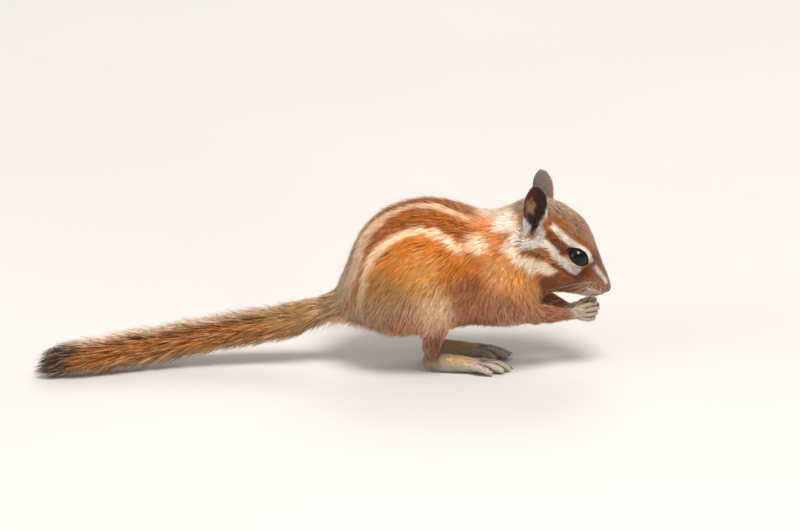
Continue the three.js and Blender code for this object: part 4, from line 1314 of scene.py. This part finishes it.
def grow_brush(name, count, seed, width, fullest):
    """Tufts of three bends from the tail's skin to `fullest` of the brush's radius."""
    rng = np.random.default_rng(seed)
    x, z = tri_outer[:, 0], tri_outer[:, 2]
    weight = over("tail") + over("trunk") * (1 - step(0, 9, x)) * (1 - step(24, 34, z))
    face, corners = rooted(weight * (1 + 0.8 * step(-60, -85, x)), count, rng)
    root = carried(places, face, corners)
    up = unit(carried(skin_normal, face, corners))
    uv = (tri_uv[face] * corners[:, :, None]).sum(1)
    x = root[:, 0]
    out = root[:, 1:] - tail_middle_at(x)[:, :2]
    round_it = np.arctan2(out[:, 1], out[:, 0])
    core = np.hypot(out[:, 1], out[:, 0])
    length = np.interp(x, BRUSH_X, BRUSH_LENGTH) * rng.uniform(0.7, 1.15, count)
    reach = fullest * rng.uniform(0.25, 1.12, count) ** 0.6 * (1 + 0.25 * step(-76, -90, x))
    path, turn = [root - up * 0.1], round_it
    leader = leaders(np.stack([x, np.cos(round_it) * 5, np.sin(round_it) * 5], 1), BRUSH_LOCK, rng)
    for share, out_share in ((0.36, 0.42), (0.7, 0.76), (1.0, 1.0)):
        at_x = x - length * share * 0.94
        there = tail_middle_at(at_x)
        radius = core + (np.maximum(there[:, 2], 2.4) * reach - core) * out_share
        turn = turn + rng.normal(0, 0.05, count)
        aside, above = np.cos(turn) * radius, np.sin(turn) * radius
        point = np.stack([at_x, there[:, 0] + aside, there[:, 1] + above], 1)
        point = point + (point[leader] - point) * (0.45 * share)
        point[:, 2] = np.maximum(point[:, 2], HAIR_FLOOR)
        path.append(point)
    height = np.sin(round_it)
    top_edge = step(0.74, 0.95, height)
    top_line = step(0.45, 0.7, height) * (1 - top_edge)
    end = step(-84, -95, path[-1][:, 0])
    tone = (rng.uniform(0.8, 1.2, count)[leader] * rng.uniform(0.8, 1.2, count))[:, None] * BRUSH_LIGHT
    chance, second_chance = rng.random(count), rng.random(count)
    centre = mixed(TAIL_RUFOUS, TAIL_BUFF, step(-0.2, -0.7, height) * 0.6)
    dark = mixed(centre, TAIL_DARK, np.where(chance < 0.24 + 0.45 * top_line + 0.4 * top_edge, 0.85, 0.1))
    frosted = np.where(second_chance > 0.96 - 0.8 * top_edge - 0.1 * (height < -0.5), 0.8, 0.05)
    before_tip = mixed(centre, TAIL_DARK, np.where(chance < 0.22 + 0.3 * top_line, 0.7, 0.0))
    before_tip = mixed(before_tip, TAIL_PALE, frosted)
    tips = mixed(before_tip, TAIL_PALE, frosted)
    before_tip = mixed(before_tip, TAIL_BLACK, end * np.where(second_chance > 0.75, 0.5, 0.95))
    tips = mixed(tips, TAIL_BLACK, end * np.where(second_chance > 0.6, 0.25, 0.9))
    tips = mixed(tips, TAIL_PALE, end * np.where(second_chance > 0.6, 0.5, 0.0))
    dark = mixed(dark, TAIL_BLACK, end * 0.9)
    near_root = step(-22, -4, x + 4 * height) * 0.85
    root_tint = mixed(TAIL_ROOT, RUMP_GREY, step(-3, 6, x))
    wide = width * rng.uniform(0.75, 1.25, count)
    # Roots at half the colour: a darker hair base and painted shade deep in the brush.
    colours = [centre * 0.5 * tone]
    colours += [mixed(hair, root_tint, near_root) * tone for hair in (dark, before_tip, tips)]
    sliver_mesh(name, path, [wide, wide, wide * 0.75], up, colours, uv, fur)


grow_brush("coat_tail", 12300, 201, 0.26, 1.0)
grow_brush("coat_tail_inner", 4000, 202, 0.34, 0.75)

# ---- claws and whiskers ----
# Horn claws at the toes and fingers, and long stiff hairs from the upper lip and the brow,
# each a bent line thickened to a tube that tapers to a point.
def taper_tree():
    """Geometry nodes: every line of a mesh becomes a closed tube, as thick as the line says."""
    tree = bpy.data.node_groups.new("taper_tubes", "GeometryNodeTree")
    for name, kind in (("Geometry", "Geometry"), ("Sides", "Int"), ("Material", "Material")):
        tree.interface.new_socket(name, in_out="INPUT", socket_type="NodeSocket" + kind)
    tree.interface.new_socket("Geometry", in_out="OUTPUT", socket_type="NodeSocketGeometry")
    nodes, links = tree.nodes, tree.links
    given, result = nodes.new("NodeGroupInput"), nodes.new("NodeGroupOutput")
    to_curve = nodes.new("GeometryNodeMeshToCurve")
    thickness = nodes.new("GeometryNodeInputNamedAttribute")
    thickness.data_type = "FLOAT"
    thickness.inputs["Name"].default_value = "thickness"
    section = nodes.new("GeometryNodeCurvePrimitiveCircle")
    section.inputs["Radius"].default_value = 1.0
    tube = nodes.new("GeometryNodeCurveToMesh")
    tube.inputs["Fill Caps"].default_value = True
    finish = nodes.new("GeometryNodeSetShadeSmooth")
    paint = nodes.new("GeometryNodeSetMaterial")
    real = nodes.new("GeometryNodeRealizeInstances")
    wire(
        links,
        (given, "Geometry", to_curve, "Mesh"),
        (to_curve, "Curve", tube, "Curve"),
        (thickness, "Attribute", tube, "Scale"),
        (given, "Sides", section, "Resolution"),
        (section, "Curve", tube, "Profile Curve"),
        (tube, "Mesh", finish, "Geometry"),
        (finish, "Geometry", real, "Geometry"),
        (real, "Geometry", paint, "Geometry"),
        (given, "Material", paint, "Material"),
        (paint, "Geometry", result, "Geometry"),
    )
    return tree


taper_tubes = taper_tree()


def tapered(name, lines, sides, paint):
    """A plain mesh of tapering tubes; a line is its points in mm and its radii."""
    points, edges, radii = [], [], []
    for line, line_radii in lines:
        edges += [(len(points) + i, len(points) + i + 1) for i in range(len(line) - 1)]
        points += [tuple(np.array(p) * MM) for p in line]
        radii += [r * MM for r in line_radii]
    mesh = bpy.data.meshes.new(name)
    mesh.from_pydata(points, edges, [])
    mesh.attributes.new("thickness", "FLOAT", "POINT").data.foreach_set("value", radii)
    lines_object = placed(name, mesh)
    grown = lines_object.modifiers.new("tubes", "NODES")
    grown.node_group = taper_tubes
    for item in taper_tubes.interface.items_tree:
        if item.in_out == "INPUT" and item.name in ("Sides", "Material"):
            grown[item.identifier] = sides if item.name == "Sides" else paint
    made = evaluated(lines_object)
    lines_object.modifiers.clear()
    lines_object.data = made
    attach(lines_object, "root")
    return lines_object


def bent(start, way, sag, length, stations):
    """Points of a line that starts along `way` and bends towards `sag`."""
    shares = np.linspace(0, 1, stations)[:, None]
    return np.array(start) + unit(np.array(way)) * length * shares + np.array(sag) * length * shares ** 2


TOE_CLAW, TOE_CLAW_RADII = 1.6, [0.3, 0.29, 0.25, 0.18, 0.11, 0.03]
FINGER_CLAW, FINGER_CLAW_RADII = 1.25, [0.22, 0.21, 0.19, 0.15, 0.1, 0.03]
HORN_STOPS = (0.35, srgb(92, 74, 64)), (0.7, srgb(136, 116, 100))
horn = clouded("claw_horn", 0.35, 0.4, 900.0, *HORN_STOPS)
claw_lines = []
for side in (-1, 1):
    for toe in range(5):
        (x, y, z), _ = toe_line(toe, side)[-1]
        line = bent((x + 0.4, y, z + 0.3), (1, 0, 0.05), (0, 0, -0.5), TOE_CLAW, 6)
        claw_lines.append((line, TOE_CLAW_RADII))
    for finger in range(4):
        (x, y, z), _ = finger_line(finger, side)[-1]
        line = bent((x, y, z), (0.5, -side, 0.05), (-0.3, -side * 0.2, -0.2), FINGER_CLAW, 6)
        claw_lines.append((line, FINGER_CLAW_RADII))
tapered("claws", claw_lines, 8, horn)

WHISKER_RADII = np.linspace(0.043, 0.01, 9)
BROW_LENGTH, BROW_RADII = 8.5, np.linspace(0.046, 0.012, 9)
WHISKER_STOPS = (0.35, srgb(216, 200, 184)), (0.7, srgb(246, 238, 228))
whisker_paint = clouded("whisker", 0.4, 0.5, 300.0, *WHISKER_STOPS)
rng = np.random.default_rng(301)
whisker_lines = []
for side in (-1, 1):
    for row in range(3):
        for place in range(4):
            start = np.array([[96.6 - 1.2 * place, side * (3.5 + 0.5 * place), 32.4 - 1.1 * row]])
            way = np.array([[0.2 - 0.3 * place, side * 0.9, 0.1 - 0.3 * row + rng.normal(0, 0.06)]])
            start, way = from_head(start)[0], from_head(way, place=False)[0]
            length = (8 + 3.2 * place) * rng.uniform(0.85, 1.15)
            sag = (-0.3, -0.06 * side, -0.12)
            whisker_lines.append((bent(start, way, sag, length, 9), WHISKER_RADII))
    for brow in range(3):
        start = from_head(np.array([[88.5 - brow, side * 6.6, 48.6 + 0.3 * brow]]))[0]
        way = from_head(np.array([[0.2 - 0.3 * brow, side * 0.7, 0.75]]), place=False)[0]
        whisker_lines.append((bent(start, way, (-0.35, 0, 0), BROW_LENGTH, 9), BROW_RADII))
tapered("whiskers", whisker_lines, 5, whisker_paint)
